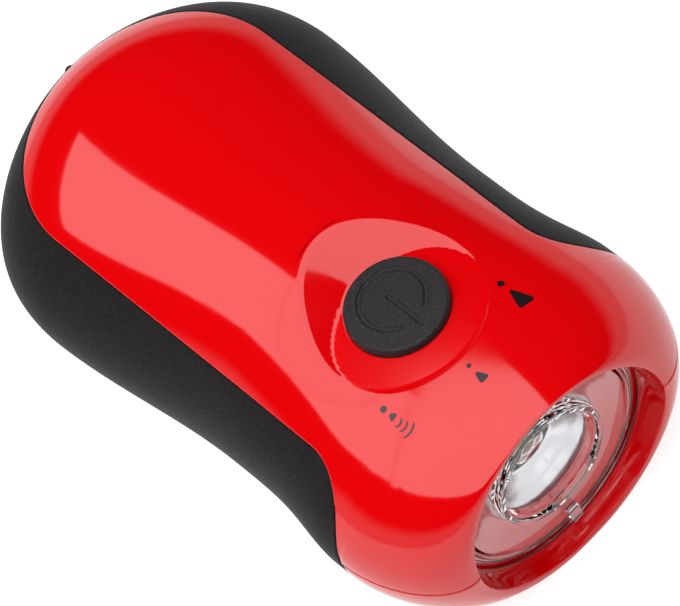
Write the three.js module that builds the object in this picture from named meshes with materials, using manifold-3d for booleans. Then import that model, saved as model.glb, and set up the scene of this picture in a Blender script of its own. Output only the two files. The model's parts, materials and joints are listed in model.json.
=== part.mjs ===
// Hand crank flashlight: two glossy shells in a black grip band, a lens in the nose, a power
// button in a round dish, and a fold-out crank on the underside that drives a small generator.
// Millimetres, +Z up. The lens looks along -Y. Heights are counted from the parting plane
// until the whole torch is set down on its underside at the end.

import * as THREE from 'three';
import Module from 'manifold-3d';
import { mergeVertices } from 'three/addons/utils/BufferGeometryUtils.js';

// Fits
const FIT_GAP = 0.3;
const RUNNING_GAP = 0.2;
const PARTING_GAP = 0.2;
const OVERRUN = 2;
const WELD = 0.0001;

// Body outline: half-widths and heights at the nose, the waist and the tail
const NOSE_LENGTH = 51;
const TAIL_LENGTH = 52.5;
const NOSE_HALF_WIDTH = 29.9;
const WAIST_HALF_WIDTH = 27.2;
const TAIL_HALF_WIDTH = 30.2;
const NOSE_HEIGHT = 19.6;
const WAIST_HEIGHT = 22.3;
const TAIL_HEIGHT = 20.1;
const UNDERSIDE_DEPTH = 21.3;
const FLAT_DEPTH = 19.5;
const NOSE_STATION = 31;
const WAIST_STATION = 8;
const TAIL_STATION = 30;
const SHOULDER_LENGTH = 22;
const TAIL_ROUND_LENGTH = 25.2;
const NOSE_POWER = 2.2;
const TAIL_POWER = 2.36;
const TAIL_CROWN_POWER = 3.05;
const UPPER_POWER = 1.96;
const LOWER_POWER = 2.3;
const LIP_POWER = 2;
const SHELL_WALL = 2;
const BAND_WALL = 2.6;

// Edge between the red shells and the black band, in plan
const SEAM_HALF_WIDTH = 21.5;
const SEAM_TAIL_SETBACK = 23;
const SEAM_TAIL_Y = TAIL_LENGTH - SEAM_TAIL_SETBACK;
const SEAM_TAIL_LENGTH = 19.3;
const FLARE_RADIUS = 9.5;
const FLARE_Y = 24.3;
const LEDGE_WIDTH = 1.6;
const LEDGE_ROOT = 1.8;
const LEDGE_THICKNESS = 1.1;

// Lens, its recess and what stands behind it
const RIM_RADIUS = 18.5;
const RIM_LIP = 0.9;
const LENS_SIGHT_RADIUS = 17.95;
const LENS_RADIUS = 18.4;
const LENS_SEAT_DEPTH = 4.4;
const LENS_FLANGE = 1.9;
const BULKHEAD_THICKNESS = 1.7;
const BULKHEAD_BORE = 16.3;
const COLLIMATOR_RADIUS = 9.8;
const COLLIMATOR_LENGTH = 8.4;
const CONE_TIP_RADIUS = 4.6;
const BOWL_DEPTH = 4;
const TAB_WIDTH = 2.2;
const TAB_HEIGHT = 1.5;
const TAB_LENGTH = 0.8;
const REFLECTOR_WALL = 0.8;
const REFLECTOR_DEPTH = 7.3;
const LED_RADIUS = 2.5;
const LED_LENGTH = 4.4;
const LED_FLANGE = 0.4;
const LED_FLANGE_LENGTH = 1;
const LED_BOARD_RADIUS = 5.6;
const BOARD_THICKNESS = 1.2;

// Button, its dish and the switch below it
const BUTTON_Y = 22.7;
const BUTTON_RADIUS = 7.75;
const BUTTON_TOP = 20.2;
const BUTTON_CROWN = 0.15;
const BUTTON_EDGE = 0.6;
const BUTTON_WALL = 1.6;
const BUTTON_FLANGE = 1.5;
const BUTTON_FLANGE_HEIGHT = 1;
const BUTTON_STEM_RADIUS = 1.5;
const BUTTON_STEM = 1.3;
const DISH_DEPTH = 2.9;
const DISH_BOWL_RADIUS = 12;
const DISH_RADIUS = 14.4;
const DECK_HEIGHT = 16.3;
const DECK_RADIUS = 15.5;
const SWITCH_WIDTH = 6;
const SWITCH_HEIGHT = 3.4;
const PLUNGER_RADIUS = 1.6;
const PLUNGER_LENGTH = 2.2;

// Circuit board
const CIRCUIT_HALF_WIDTH = 13;
const CIRCUIT_FRONT = 38.4;
const CIRCUIT_BACK = 17.2;
const CIRCUIT_Z = 11.2;
const CAPACITOR_RADIUS = 3;
const CAPACITOR_LENGTH = 7;
const CHIP_WIDTH = 5;
const CHIP_LENGTH = 4;
const CHIP_HEIGHT = 1.3;
const DIODE_RADIUS = 0.9;
const DIODE_LENGTH = 4;
const DIODE_SPACING = 3;

// Crank disc, arm and knob
const CRANK_SETBACK = 32.5;
const CRANK_Y = TAIL_LENGTH - CRANK_SETBACK;
const DISC_RADIUS = 18.5;
const DISC_WALL = 2.1;
const DISC_FLOOR = 2.5;
const DISC_RECESS = 0.2;
const WELL_DEPTH = 6.8;
const WELL_GAP = 0.6;
const SKIRT_WALL = 1.2;
const SKIRT_HEIGHT = 10.6;
const PLINTH_FOOT = 1;
const PLINTH_FLARE = 2;
const HINGE_Y = 16.5;
const HINGE_RADIUS = 0.75;
const BARREL_RADIUS = 1.5;
const LUG_WIDTH = 2.8;
const LUG_DEPTH = 3.2;
const ARM_LENGTH = 26;
const ARM_HALF_WIDTH = 4;
const ARM_TIP_RADIUS = 5;
const ARM_THICKNESS = 2.8;
const ARM_TAPER_LENGTH = 6.5;
const NECK_LENGTH = 2;
const THUMB_RADIUS = 6;
const THUMB_DEPTH = 0.8;
const KNOB_RADIUS = 4.8;
const KNOB_TIP_RADIUS = 4;
const KNOB_WAIST_RADIUS = 3.9;
const KNOB_LENGTH = 6.9;
const KNOB_EDGE = 0.6;
const POCKET_TRAVEL = 1.1;
const POCKET_WALL = 1;
const KNOB_PIN_RADIUS = 1.1;
const KNOB_PIN_HEAD_RADIUS = 2.2;
const KNOB_PIN_HEAD = 0.8;

// Crank shaft and its fixings
const SHAFT_RADIUS = 2.5;
const SHAFT_HEX_RADIUS = 2.6;
const HUB_HEIGHT = 3;
const HUB_WALL = 1.3;
const SCREW_SEAT = 1;
const CRANK_SCREW_RADIUS = 0.85;
const CRANK_SCREW_HEAD = 2.6;
const CRANK_SCREW_LENGTH = 5;
const BUSH_WALL = 1.35;
const BUSH_FLANGE = 1.2;
const BUSH_FLANGE_THICKNESS = 0.6;
const CLIP_WALL = 1.8;
const CLIP_THICKNESS = 0.6;
const CLIP_GROOVE = 0.6;

// Gear train: levels above the parting plane, teeth and places
const TOOTH_SIZE = 1;
const DRIVE_TEETH = 32;
const PINION_TEETH = 8;
const IDLER_1_TEETH = 24;
const IDLER_2_TEETH = 20;
const ROTOR_TEETH = 10;
const ADDENDUM_SHARE = 0.9;
const DEDENDUM_SHARE = 1.15;
const TIP_WIDTH_SHARE = 0.45;
const ROOT_WIDTH_SHARE = 1.65;
const TOOTH_PLAY = 0.34;
const GEAR_HEIGHT = 3;
const UPPER_GEAR_HEIGHT = 2.5;
const PLATE_Z = -2.3;
const PLATE_THICKNESS = 1.5;
const BRIDGE_THICKNESS = 1;
const IDLER_BEARING_DEG = -60;
const SPOKE_HOLES = 5;
const SPOKE_HOLE_RADIUS = 3;
const SPOKE_RING_RADIUS = 9.4;
const IDLER_PIN_RADIUS = 1;
const IDLER_HUB_RADIUS = 2.2;
const PLATE_INSET = 3.4;
const PLATE_FRONT = 20;
const PLATE_SETBACK = 11;
const PLATE_BACK = TAIL_LENGTH - PLATE_SETBACK;
const BRIDGE_INSET = 4;
const BRIDGE_FRONT = 17.5;
const BRIDGE_BACK = 18.5;
const PILLAR_RADIUS = 1.6;
const LEFT_PILLAR_X = 18;
const LEFT_PILLAR_AHEAD = 9;
const RIGHT_PILLAR_X = 18.2;
const RIGHT_PILLAR_AHEAD = 5;
const FRONT_LEFT_PILLAR_X = 12.5;
const FRONT_LEFT_PILLAR_AHEAD = 1.7;
const FRONT_RIGHT_PILLAR_X = 13.5;
const FRONT_RIGHT_PILLAR_AHEAD = 0.2;
const WINDOW_RADIUS = 5;

// Generator
const GENERATOR_Y = 12.8;
const STATOR_RADIUS = 11.9;
const STATOR_WALL = 0.8;
const STATOR_DEPTH = 11.9;
const CLAWS = 6;
const CLAW_RADIUS = 6.3;
const CLAW_ROOT_DEG = 13;
const CLAW_TIP_DEG = 7;
const CLAW_TIP_GAP = 0.9;
const BOBBIN_WALL = 0.7;
const WINDING_RADIUS = 10.5;
const ROTOR_SHAFT_RADIUS = 0.75;
const SEAT_RADIUS = 9;
const SEAT_WALL = 1.4;

// Battery pack and its cradle
const BATTERY_RADIUS = 5.8;
const BATTERY_LENGTH = 17;
const BATTERY_Z = -10.3;
const CELL_GROOVE = 0.3;
const CRADLE_X = 5.5;
const CRADLE_THICKNESS = 1.4;
const CRADLE_HEIGHT = 5;

// Screws, bosses and posts
const SHELL_SCREW_RADIUS = 1;
const SHELL_SCREW_HEAD_RADIUS = 2.4;
const SHELL_SCREW_HEAD = 1.6;
const SHELL_SCREW_SEAT_Z = -13.3;
const SHELL_SCREW_TIP_Z = 8;
const BOSS_RADIUS = 3;
const NOSE_BOSS_X = 20;
const NOSE_BOSS_SETBACK = 17;
const NOSE_BOSS_Y = NOSE_LENGTH - NOSE_BOSS_SETBACK;
const TAIL_BOSS_X = 10.5;
const TAIL_BOSS_SETBACK = 10.7;
const TAIL_BOSS_Y = TAIL_LENGTH - TAIL_BOSS_SETBACK;
const POST_RADIUS = 2.2;
const FRONT_POST_X = 18;
const FRONT_POST_Y = 6;
const REAR_POST_X = 14.5;
const REAR_POST_SETBACK = 14.5;
const REAR_POST_Y = TAIL_LENGTH - REAR_POST_SETBACK;
const SMALL_SCREW_RADIUS = 0.7;
const SMALL_SCREW_HEAD_RADIUS = 1.4;
const SMALL_SCREW_HEAD = 0.7;
const SMALL_SCREW_LENGTH = 5;
const BOARD_POST_RADIUS = 1.8;
const BOARD_POST_X = 11.4;
const BOARD_POST_FRONT = 35.5;
const BOARD_POST_BACK = 19;
const SLOT_WIDTH = 0.5;
const SLOT_DEPTH = 0.4;

// Lanyard pin and its pocket in the tail
const LANYARD_PIN_RADIUS = 0.9;
const LANYARD_PIN_SETBACK = 2.2;
const LANYARD_PIN_Y = TAIL_LENGTH - LANYARD_PIN_SETBACK;
const LANYARD_PIN_TOP = 12.4;
const LANYARD_POCKET_HALF_WIDTH = 6;
const LANYARD_POCKET_HALF_HEIGHT = 5.5;
const LANYARD_POCKET_DEPTH = 6.3;
const LANYARD_POCKET_Y = TAIL_LENGTH - LANYARD_POCKET_DEPTH;
const LANYARD_POCKET_WALL = 1.4;

// Wires
const WIRE_RADIUS = 0.5;
const WIRE_BOW = 0.9;
const LED_WIRE_X = 2;
const BATTERY_WIRE_LEAN = 3;
const GENERATOR_WIRE_X = 4.5;

// Counts of facets
const SECTION_SIDES = 32;
const INNER_SECTION_SIDES = 16;
const ROUND_SIDES = 24;
const SMALL_ROUND_SIDES = 16;
const PIN_SIDES = 8;
const SMALL_SCREW_SIDES = 6;

const wasm = await Module();
wasm.setup();

// Solids

function signedVolume(points, index) {
  const corners = [new THREE.Vector3(), new THREE.Vector3(), new THREE.Vector3()];
  let volume = 0;
  for (let i = 0; i < index.length; i += 3) {
    corners.forEach((corner, k) => corner.fromArray(points, 3 * index[i + k]));
    volume += corners[0].dot(corners[1].clone().cross(corners[2]));
  }
  return volume;
}

function solid(geometry) {
  const bare = new THREE.BufferGeometry();
  bare.setAttribute('position', geometry.getAttribute('position').clone());
  if (geometry.index) bare.setIndex(geometry.index.clone());
  const merged = mergeVertices(bare, WELD);
  const points = new Float32Array(merged.getAttribute('position').array);
  const kept = [];
  for (let i = 0; i < merged.index.count; i += 3) {
    const [a, b, c] = [0, 1, 2].map((k) => merged.index.getX(i + k));
    if (a !== b && b !== c && c !== a) kept.push(a, b, c);
  }
  if (signedVolume(points, kept) < 0) kept.reverse();
  const triVerts = new Uint32Array(kept);
  return new wasm.Manifold(new wasm.Mesh({ numProp: 3, vertProperties: points, triVerts }));
}

function geometryOf(manifold) {
  const mesh = manifold.getMesh();
  const geometry = new THREE.BufferGeometry();
  geometry.setAttribute('position', new THREE.BufferAttribute(new Float32Array(mesh.vertProperties), 3));
  geometry.setIndex(new THREE.BufferAttribute(new Uint32Array(mesh.triVerts), 1));
  geometry.computeVertexNormals();
  return geometry;
}

const join = (first, ...others) => others.reduce((sum, other) => sum.add(other), first);
const cut = (first, ...others) => others.reduce((rest, other) => rest.subtract(other), first);
const common = (first, ...others) => others.reduce((shared, other) => shared.intersect(other), first);

// An upright cylinder at (x, y) between two heights
function drum(radius, low, high, x = 0, y = 0, sides = ROUND_SIDES) {
  const geometry = new THREE.CylinderGeometry(radius, radius, high - low, sides);
  return solid(geometry.rotateX(Math.PI / 2).translate(x, y, (low + high) / 2));
}

// A cylinder along X
function rod(radius, left, right, y, z, sides = PIN_SIDES) {
  const geometry = new THREE.CylinderGeometry(radius, radius, right - left, sides);
  return solid(geometry.rotateZ(Math.PI / 2).translate((left + right) / 2, y, z));
}

function block(left, right, front, back, low, high) {
  const geometry = new THREE.BoxGeometry(right - left, back - front, high - low);
  return solid(geometry.translate((left + right) / 2, (front + back) / 2, (low + high) / 2));
}

function tube(inner, outer, low, high, x = 0, y = 0, sides = ROUND_SIDES) {
  const bore = drum(inner, low - OVERRUN, high + OVERRUN, x, y, sides);
  return cut(drum(outer, low, high, x, y, sides), bore);
}

function prism(shape, low, high, curveSegments = PIN_SIDES) {
  const options = { depth: high - low, bevelEnabled: false, curveSegments };
  return solid(new THREE.ExtrudeGeometry(shape, options).translate(0, 0, low));
}

// A profile of [radius, length] pairs turned about the Y axis
function turnedAlongY(profile, sides = ROUND_SIDES) {
  const points = profile.map(([radius, length]) => new THREE.Vector2(radius, length));
  return solid(new THREE.LatheGeometry(points, sides));
}

// The same, turned about an upright axis
function turned(profile, sides = ROUND_SIDES) {
  const points = profile.map(([radius, height]) => new THREE.Vector2(radius, height));
  return solid(new THREE.LatheGeometry(points, sides).rotateX(Math.PI / 2));
}

// A skin through equal rings of points, closed by a fan at each end
function loft(rings) {
  const count = rings[0].length;
  const positions = rings.flat().flatMap((point) => point.toArray());
  const index = [];
  for (let ring = 0; ring + 1 < rings.length; ring += 1) {
    for (let i = 0; i < count; i += 1) {
      const next = (i + 1) % count;
      const [a, b] = [ring * count + i, ring * count + next];
      index.push(a, b, b + count, a, b + count, a + count);
    }
  }
  for (const ring of [rings[0], rings[rings.length - 1]]) {
    const centre = ring.reduce((sum, point) => sum.add(point), new THREE.Vector3());
    positions.push(...centre.divideScalar(count).toArray());
  }
  const [first, last] = [rings.length * count, rings.length * count + 1];
  const lastRing = (rings.length - 1) * count;
  for (let i = 0; i < count; i += 1) {
    const next = (i + 1) % count;
    index.push(first, next, i, last, lastRing + i, lastRing + next);
  }
  const geometry = new THREE.BufferGeometry();
  geometry.setAttribute('position', new THREE.Float32BufferAttribute(positions, 3));
  geometry.setIndex(index);
  return solid(geometry);
}

// Body form

const ease = (share) => (1 - Math.cos(Math.PI * THREE.MathUtils.clamp(share, 0, 1))) / 2;

// A size that runs from its nose value through the waist to its tail value
function alongBody(y, nose, waist, tail) {
  const ahead = (-WAIST_STATION - y) / (NOSE_STATION - WAIST_STATION);
  const behind = (y + WAIST_STATION) / (TAIL_STATION + WAIST_STATION);
  return waist + (nose - waist) * ease(ahead) + (tail - waist) * ease(behind);
}

// How far an end has rounded over: 1 where it starts, 0 at its tip
const rounding = (share, power) => Math.max(0, 1 - THREE.MathUtils.clamp(share, 0, 1) ** power) ** (1 / power);

const LIP_RADIUS = RIM_RADIUS + RIM_LIP;
const SHOULDER_Y = SHOULDER_LENGTH - NOSE_LENGTH;
const TAIL_ROUND_Y = TAIL_LENGTH - TAIL_ROUND_LENGTH;

function rounded(size, y, inset, tailPower) {
  const nose = rounding((SHOULDER_Y - y) / SHOULDER_LENGTH, NOSE_POWER);
  const tail = rounding((y - TAIL_ROUND_Y) / (TAIL_ROUND_LENGTH - inset), tailPower);
  const lip = LIP_RADIUS - inset;
  return (lip + (size - inset - lip) * nose) * tail;
}

const halfWidth = (y, inset = 0) =>
  rounded(alongBody(y, NOSE_HALF_WIDTH, WAIST_HALF_WIDTH, TAIL_HALF_WIDTH), y, inset, TAIL_POWER);
const upperHeight = (y, inset = 0) =>
  rounded(alongBody(y, NOSE_HEIGHT, WAIST_HEIGHT, TAIL_HEIGHT), y, inset, TAIL_CROWN_POWER);
const lowerHeight = (y, inset = 0) => rounded(UNDERSIDE_DEPTH, y, inset, TAIL_CROWN_POWER);

function topSurface(x, y) {
  const share = Math.min(1, Math.abs(x) / halfWidth(y));
  return upperHeight(y) * (1 - share ** UPPER_POWER) ** (1 / UPPER_POWER);
}

// The lower section runs into the round lip at the nose
const lowerPower = (y) =>
  THREE.MathUtils.lerp(LIP_POWER, LOWER_POWER, rounding((SHOULDER_Y - y) / SHOULDER_LENGTH, NOSE_POWER));

const signedPower = (value, power) => Math.sign(value) * Math.abs(value) ** power;

function bodyRing(y, inset, sides) {
  const ring = [];
  for (let i = 0; i < sides; i += 1) {
    const angle = (2 * Math.PI * i) / sides;
    const upper = Math.sin(angle) >= 0;
    const power = 2 / (upper ? UPPER_POWER : lowerPower(y));
    const height = upper ? upperHeight(y, inset) : lowerHeight(y, inset);
    const x = halfWidth(y, inset) * signedPower(Math.cos(angle), power);
    ring.push(new THREE.Vector3(x, y, height * signedPower(Math.sin(angle), power)));
  }
  return ring;
}

const OUTER_RINGS = { nose: 5, waist: 5, tail: 6 };
const INNER_RINGS = { nose: 3, waist: 3, tail: 4 };
const LAST_RING_SHARE = 0.965;

// Ring places, closer together where the ends round over
function bodyStations(inset, rings) {
  const places = [];
  for (let i = rings.nose; i > 0; i -= 1) {
    places.push(SHOULDER_Y - SHOULDER_LENGTH * Math.sin((Math.PI / 2) * (i / rings.nose)));
  }
  for (let i = 0; i < rings.waist; i += 1) {
    places.push(THREE.MathUtils.lerp(SHOULDER_Y, TAIL_ROUND_Y, i / rings.waist));
  }
  for (let i = 0; i <= rings.tail; i += 1) {
    const turn = (Math.PI / 2) * LAST_RING_SHARE * (i / rings.tail);
    places.push(TAIL_ROUND_Y + (TAIL_ROUND_LENGTH - inset) * Math.sin(turn));
  }
  return places;
}

// The outer form, or the same form drawn in by an inset, with its flat underside
function bodyForm(inset = 0) {
  const sides = inset > 0 ? INNER_SECTION_SIDES : SECTION_SIDES;
  const rings = inset > 0 ? INNER_RINGS : OUTER_RINGS;
  const form = loft(bodyStations(inset, rings).map((y) => bodyRing(y, inset, sides)));
  const reach = NOSE_LENGTH + TAIL_LENGTH;
  return common(form, block(-reach, reach, -reach, reach, inset - FLAT_DEPTH, reach));
}

const SEAM_TAIL_STEPS = 14;
const SEAM_FLARE_STEPS = 3;

// Half of the red shells' plan, from the nose to the middle of the tail, grown by an offset
function seamSide(offset) {
  const side = SEAM_HALF_WIDTH + offset;
  const flare = FLARE_RADIUS - offset;
  const centre = SEAM_HALF_WIDTH + FLARE_RADIUS;
  const front = -FLARE_Y - flare;
  const points = [[centre + NOSE_LENGTH, front - NOSE_LENGTH], [centre + NOSE_LENGTH, front]];
  for (let i = 0; i <= SEAM_FLARE_STEPS; i += 1) {
    const angle = (Math.PI / 2) * (i / SEAM_FLARE_STEPS);
    points.push([centre - flare * Math.sin(angle), -FLARE_Y - flare * Math.cos(angle)]);
  }
  for (let i = 0; i < SEAM_TAIL_STEPS / 2; i += 1) {
    const angle = Math.PI * (i / SEAM_TAIL_STEPS);
    points.push([side * Math.cos(angle), SEAM_TAIL_Y + (SEAM_TAIL_LENGTH + offset) * Math.sin(angle)]);
  }
  return points;
}

function seamPrism(offset = 0) {
  const right = seamSide(offset);
  const left = right.map(([x, y]) => [-x, y]).reverse();
  const tail = [0, SEAM_TAIL_Y + SEAM_TAIL_LENGTH + offset];
  const shape = new THREE.Shape([...right, tail, ...left].map(([x, y]) => new THREE.Vector2(x, y)));
  return prism(shape, -NOSE_LENGTH, NOSE_LENGTH);
}

const outerForm = bodyForm();
const cavityForm = bodyForm(SHELL_WALL);

// Places along the lens axis, from the rim backwards
const LENS_FRONT_Y = LENS_SEAT_DEPTH - NOSE_LENGTH;
const LENS_BACK_Y = LENS_FRONT_Y + LENS_FLANGE;
const GROOVE_FRONT_Y = LENS_FRONT_Y - FIT_GAP;
const GROOVE_BACK_Y = LENS_BACK_Y + FIT_GAP;
const BULKHEAD_Y = GROOVE_BACK_Y + BULKHEAD_THICKNESS;
const CONE_TIP_Y = LENS_FRONT_Y + COLLIMATOR_LENGTH;
const REFLECTOR_FRONT_Y = LENS_BACK_Y + FIT_GAP;
const REFLECTOR_BACK_Y = REFLECTOR_FRONT_Y + REFLECTOR_DEPTH;
const LED_BOARD_Y = REFLECTOR_BACK_Y + FIT_GAP;
const BATTERY_Y = -LED_BOARD_Y - BATTERY_RADIUS;

// The hollow inside both shells, which stops behind the lens bulkhead
function cavity(form) {
  const reach = NOSE_LENGTH + TAIL_LENGTH;
  return common(form, block(-reach, reach, BULKHEAD_Y, reach, -reach, reach));
}

// Recess, lens groove and bulkhead bore, turned as one cutter
function lensCutter() {
  const draft = (RIM_RADIUS - LENS_SIGHT_RADIUS) / (GROOVE_FRONT_Y + NOSE_LENGTH);
  const front = -NOSE_LENGTH - OVERRUN;
  const groove = LENS_RADIUS + FIT_GAP;
  return turnedAlongY([
    [0, front],
    [RIM_RADIUS + draft * OVERRUN, front],
    [LENS_SIGHT_RADIUS, GROOVE_FRONT_Y],
    [groove, GROOVE_FRONT_Y],
    [groove, GROOVE_BACK_Y],
    [BULKHEAD_BORE, GROOVE_BACK_Y],
    [BULKHEAD_BORE, BULKHEAD_Y + OVERRUN],
    [0, BULKHEAD_Y + OVERRUN],
  ]);
}

// Depth of the button dish below the body at a distance from the button's axis: a bowl, then
// a soft shoulder that runs out level at the dish's edge
function dishDepth(radius) {
  const squared = DISH_RADIUS * DISH_BOWL_RADIUS;
  if (radius < DISH_BOWL_RADIUS) return DISH_DEPTH * (1 - radius ** 2 / squared);
  const bowlSlope = (2 * DISH_DEPTH * DISH_BOWL_RADIUS) / squared;
  const left = Math.max(0, DISH_RADIUS - radius);
  return (bowlSlope * left ** 2) / (2 * (DISH_RADIUS - DISH_BOWL_RADIUS));
}

const DISH_RINGS = 4;

function dishRing(radius, height) {
  const ring = [];
  for (let i = 0; i < ROUND_SIDES; i += 1) {
    const angle = (2 * Math.PI * i) / ROUND_SIDES;
    const x = radius * Math.cos(angle);
    const y = radius * Math.sin(angle) - BUTTON_Y;
    ring.push(new THREE.Vector3(x, y, height ?? topSurface(x, y) - dishDepth(radius)));
  }
  return ring;
}

function dishCutter() {
  const rings = [];
  const start = BUTTON_RADIUS;
  for (let i = 0; i <= DISH_RINGS; i += 1) {
    rings.push(dishRing(THREE.MathUtils.lerp(start, DISH_RADIUS, i / DISH_RINGS)));
  }
  rings.push(dishRing(DISH_RADIUS, WAIST_HEIGHT + OVERRUN));
  return loft(rings);
}

// Screws

const shellScrewPlaces = [
  [-NOSE_BOSS_X, -NOSE_BOSS_Y],
  [NOSE_BOSS_X, -NOSE_BOSS_Y],
  [-TAIL_BOSS_X, TAIL_BOSS_Y],
  [TAIL_BOSS_X, TAIL_BOSS_Y],
];
const plateScrewPlaces = [
  [-FRONT_POST_X, -FRONT_POST_Y],
  [FRONT_POST_X, -FRONT_POST_Y],
  [-REAR_POST_X, REAR_POST_Y],
  [REAR_POST_X, REAR_POST_Y],
];
const boardPostPlaces = [
  [-BOARD_POST_X, -BOARD_POST_FRONT],
  [BOARD_POST_X, -BOARD_POST_FRONT],
  [-BOARD_POST_X, -BOARD_POST_BACK],
  [BOARD_POST_X, -BOARD_POST_BACK],
];

// A slotted screw whose head stands on the seat and whose shank points along a direction
function screw(radius, length, headRadius, head, sides = PIN_SIDES) {
  const body = turned([
    [0, 0],
    [radius, 0],
    [radius, length],
    [headRadius, length],
    [headRadius, length + head],
    [0, length + head],
  ], sides);
  const top = length + head;
  const half = SLOT_WIDTH / 2;
  return cut(body, block(-half, half, -headRadius, headRadius, top - SLOT_DEPTH, top + SLOT_DEPTH));
}

const smallScrew = (length) =>
  screw(SMALL_SCREW_RADIUS, length, SMALL_SCREW_HEAD_RADIUS, SMALL_SCREW_HEAD, SMALL_SCREW_SIDES);

// Top shell

const insideSkin = (form) => common(form, bodyForm(SHELL_WALL / 2));

function topShell() {
  const reach = NOSE_LENGTH + TAIL_LENGTH;
  const upper = block(-reach, reach, -reach, reach, PARTING_GAP / 2, reach);
  const red = common(outerForm, seamPrism(), upper);
  const deck = common(red, drum(DECK_RADIUS, DECK_HEIGHT, reach, 0, -BUTTON_Y));
  const bosses = shellScrewPlaces.map(([x, y]) =>
    insideSkin(drum(BOSS_RADIUS, PARTING_GAP / 2, reach, x, y, PIN_SIDES)));
  const boardTop = CIRCUIT_Z + BOARD_THICKNESS + FIT_GAP;
  const posts = boardPostPlaces.map(([x, y]) =>
    insideSkin(drum(BOARD_POST_RADIUS, boardTop, reach, x, y, PIN_SIDES)));
  const bossPilot = SHELL_SCREW_RADIUS + FIT_GAP;
  const postPilot = SMALL_SCREW_RADIUS + RUNNING_GAP;
  const pilots = [
    ...shellScrewPlaces.map(([x, y]) =>
      drum(bossPilot, -OVERRUN, SHELL_SCREW_TIP_Z + FIT_GAP, x, y, PIN_SIDES)),
    ...boardPostPlaces.slice(0, 2).map(([x, y]) =>
      drum(postPilot, CIRCUIT_Z, CIRCUIT_Z + SMALL_SCREW_LENGTH, x, y, PIN_SIDES)),
  ];
  const buttonBore = drum(BUTTON_RADIUS + FIT_GAP, DECK_HEIGHT - OVERRUN, reach, 0, -BUTTON_Y);
  const shell = join(cut(red, cavity(cavityForm)), deck, ...bosses, ...posts);
  return cut(shell, lensCutter(), dishCutter(), buttonBore, ...pilots);
}

// Bottom shell

const WELL_RADIUS = DISC_RADIUS + WELL_GAP;
const SKIRT_RADIUS = WELL_RADIUS + SKIRT_WALL;
const SKIRT_TOP = SKIRT_HEIGHT - FLAT_DEPTH;

// The round foot of the crank, which stands out of the curved underside
function plinth() {
  const form = turned([
    [0, -FLAT_DEPTH],
    [SKIRT_RADIUS + PLINTH_FOOT, -FLAT_DEPTH],
    [SKIRT_RADIUS + PLINTH_FOOT + PLINTH_FLARE, SKIRT_TOP],
    [0, SKIRT_TOP],
  ]);
  const geometry = geometryOf(form).translate(0, CRANK_Y, 0);
  return common(solid(geometry), join(outerForm, drum(SKIRT_RADIUS + PLINTH_FOOT + PLINTH_FLARE,
    -FLAT_DEPTH, SKIRT_TOP, 0, CRANK_Y)));
}

function batteryCradle() {
  const low = -FLAT_DEPTH + SHELL_WALL / 2;
  const ribs = [-CRADLE_X, CRADLE_X].map((x) => block(
    x - CRADLE_THICKNESS / 2, x + CRADLE_THICKNESS / 2,
    -BATTERY_Y - BATTERY_RADIUS, -BATTERY_Y + BATTERY_RADIUS,
    low, low + CRADLE_HEIGHT,
  ));
  const cells = rod(BATTERY_RADIUS + FIT_GAP, -BATTERY_LENGTH, BATTERY_LENGTH, -BATTERY_Y, BATTERY_Z, ROUND_SIDES);
  return cut(join(...ribs), cells);
}

function bottomShell() {
  const reach = NOSE_LENGTH + TAIL_LENGTH;
  const parting = -PARTING_GAP / 2;
  const lower = block(-reach, reach, -reach, reach, -reach, parting);
  const red = common(join(outerForm, plinth()), seamPrism(), lower);
  const skirt = drum(SKIRT_RADIUS, -FLAT_DEPTH, SKIRT_TOP, 0, CRANK_Y);
  const bosses = shellScrewPlaces.map(([x, y]) =>
    insideSkin(drum(BOSS_RADIUS, -FLAT_DEPTH, parting, x, y, PIN_SIDES)));
  const postTop = PLATE_Z - FIT_GAP;
  const posts = plateScrewPlaces.map(([x, y]) =>
    insideSkin(drum(POST_RADIUS, -FLAT_DEPTH, postTop, x, y, PIN_SIDES)));
  const seat = insideSkin(tube(SEAT_RADIUS, SEAT_RADIUS + SEAT_WALL, -FLAT_DEPTH,
    PLATE_Z - FIT_GAP - STATOR_DEPTH - FIT_GAP, 0, -GENERATOR_Y, SMALL_ROUND_SIDES));
  const screwBores = shellScrewPlaces.flatMap(([x, y]) => [
    drum(SHELL_SCREW_HEAD_RADIUS + FIT_GAP, -reach, SHELL_SCREW_SEAT_Z, x, y, PIN_SIDES),
    drum(SHELL_SCREW_RADIUS + FIT_GAP, -reach, OVERRUN, x, y, PIN_SIDES),
  ]);
  const pilots = plateScrewPlaces.map(([x, y]) =>
    drum(SMALL_SCREW_RADIUS + RUNNING_GAP, postTop - SMALL_SCREW_LENGTH, OVERRUN, x, y, PIN_SIDES));
  const skin = cut(red, cavity(cavityForm));
  const shell = join(skin, skirt, ...bosses, ...posts, seat, batteryCradle());
  const well = drum(WELL_RADIUS, -reach, SKIRT_TOP + OVERRUN, 0, CRANK_Y);
  return cut(shell, lensCutter(), well, ...screwBores, ...pilots);
}

// Grip band

// Space that the shells' bosses and posts take up, which the band's ledge leaves free
function bossSpaces() {
  const reach = NOSE_LENGTH;
  return [
    ...shellScrewPlaces.map(([x, y]) => drum(BOSS_RADIUS + FIT_GAP, -reach, reach, x, y, PIN_SIDES)),
    ...plateScrewPlaces.map(([x, y]) => drum(POST_RADIUS + FIT_GAP, -reach, 0, x, y, PIN_SIDES)),
  ];
}

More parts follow.
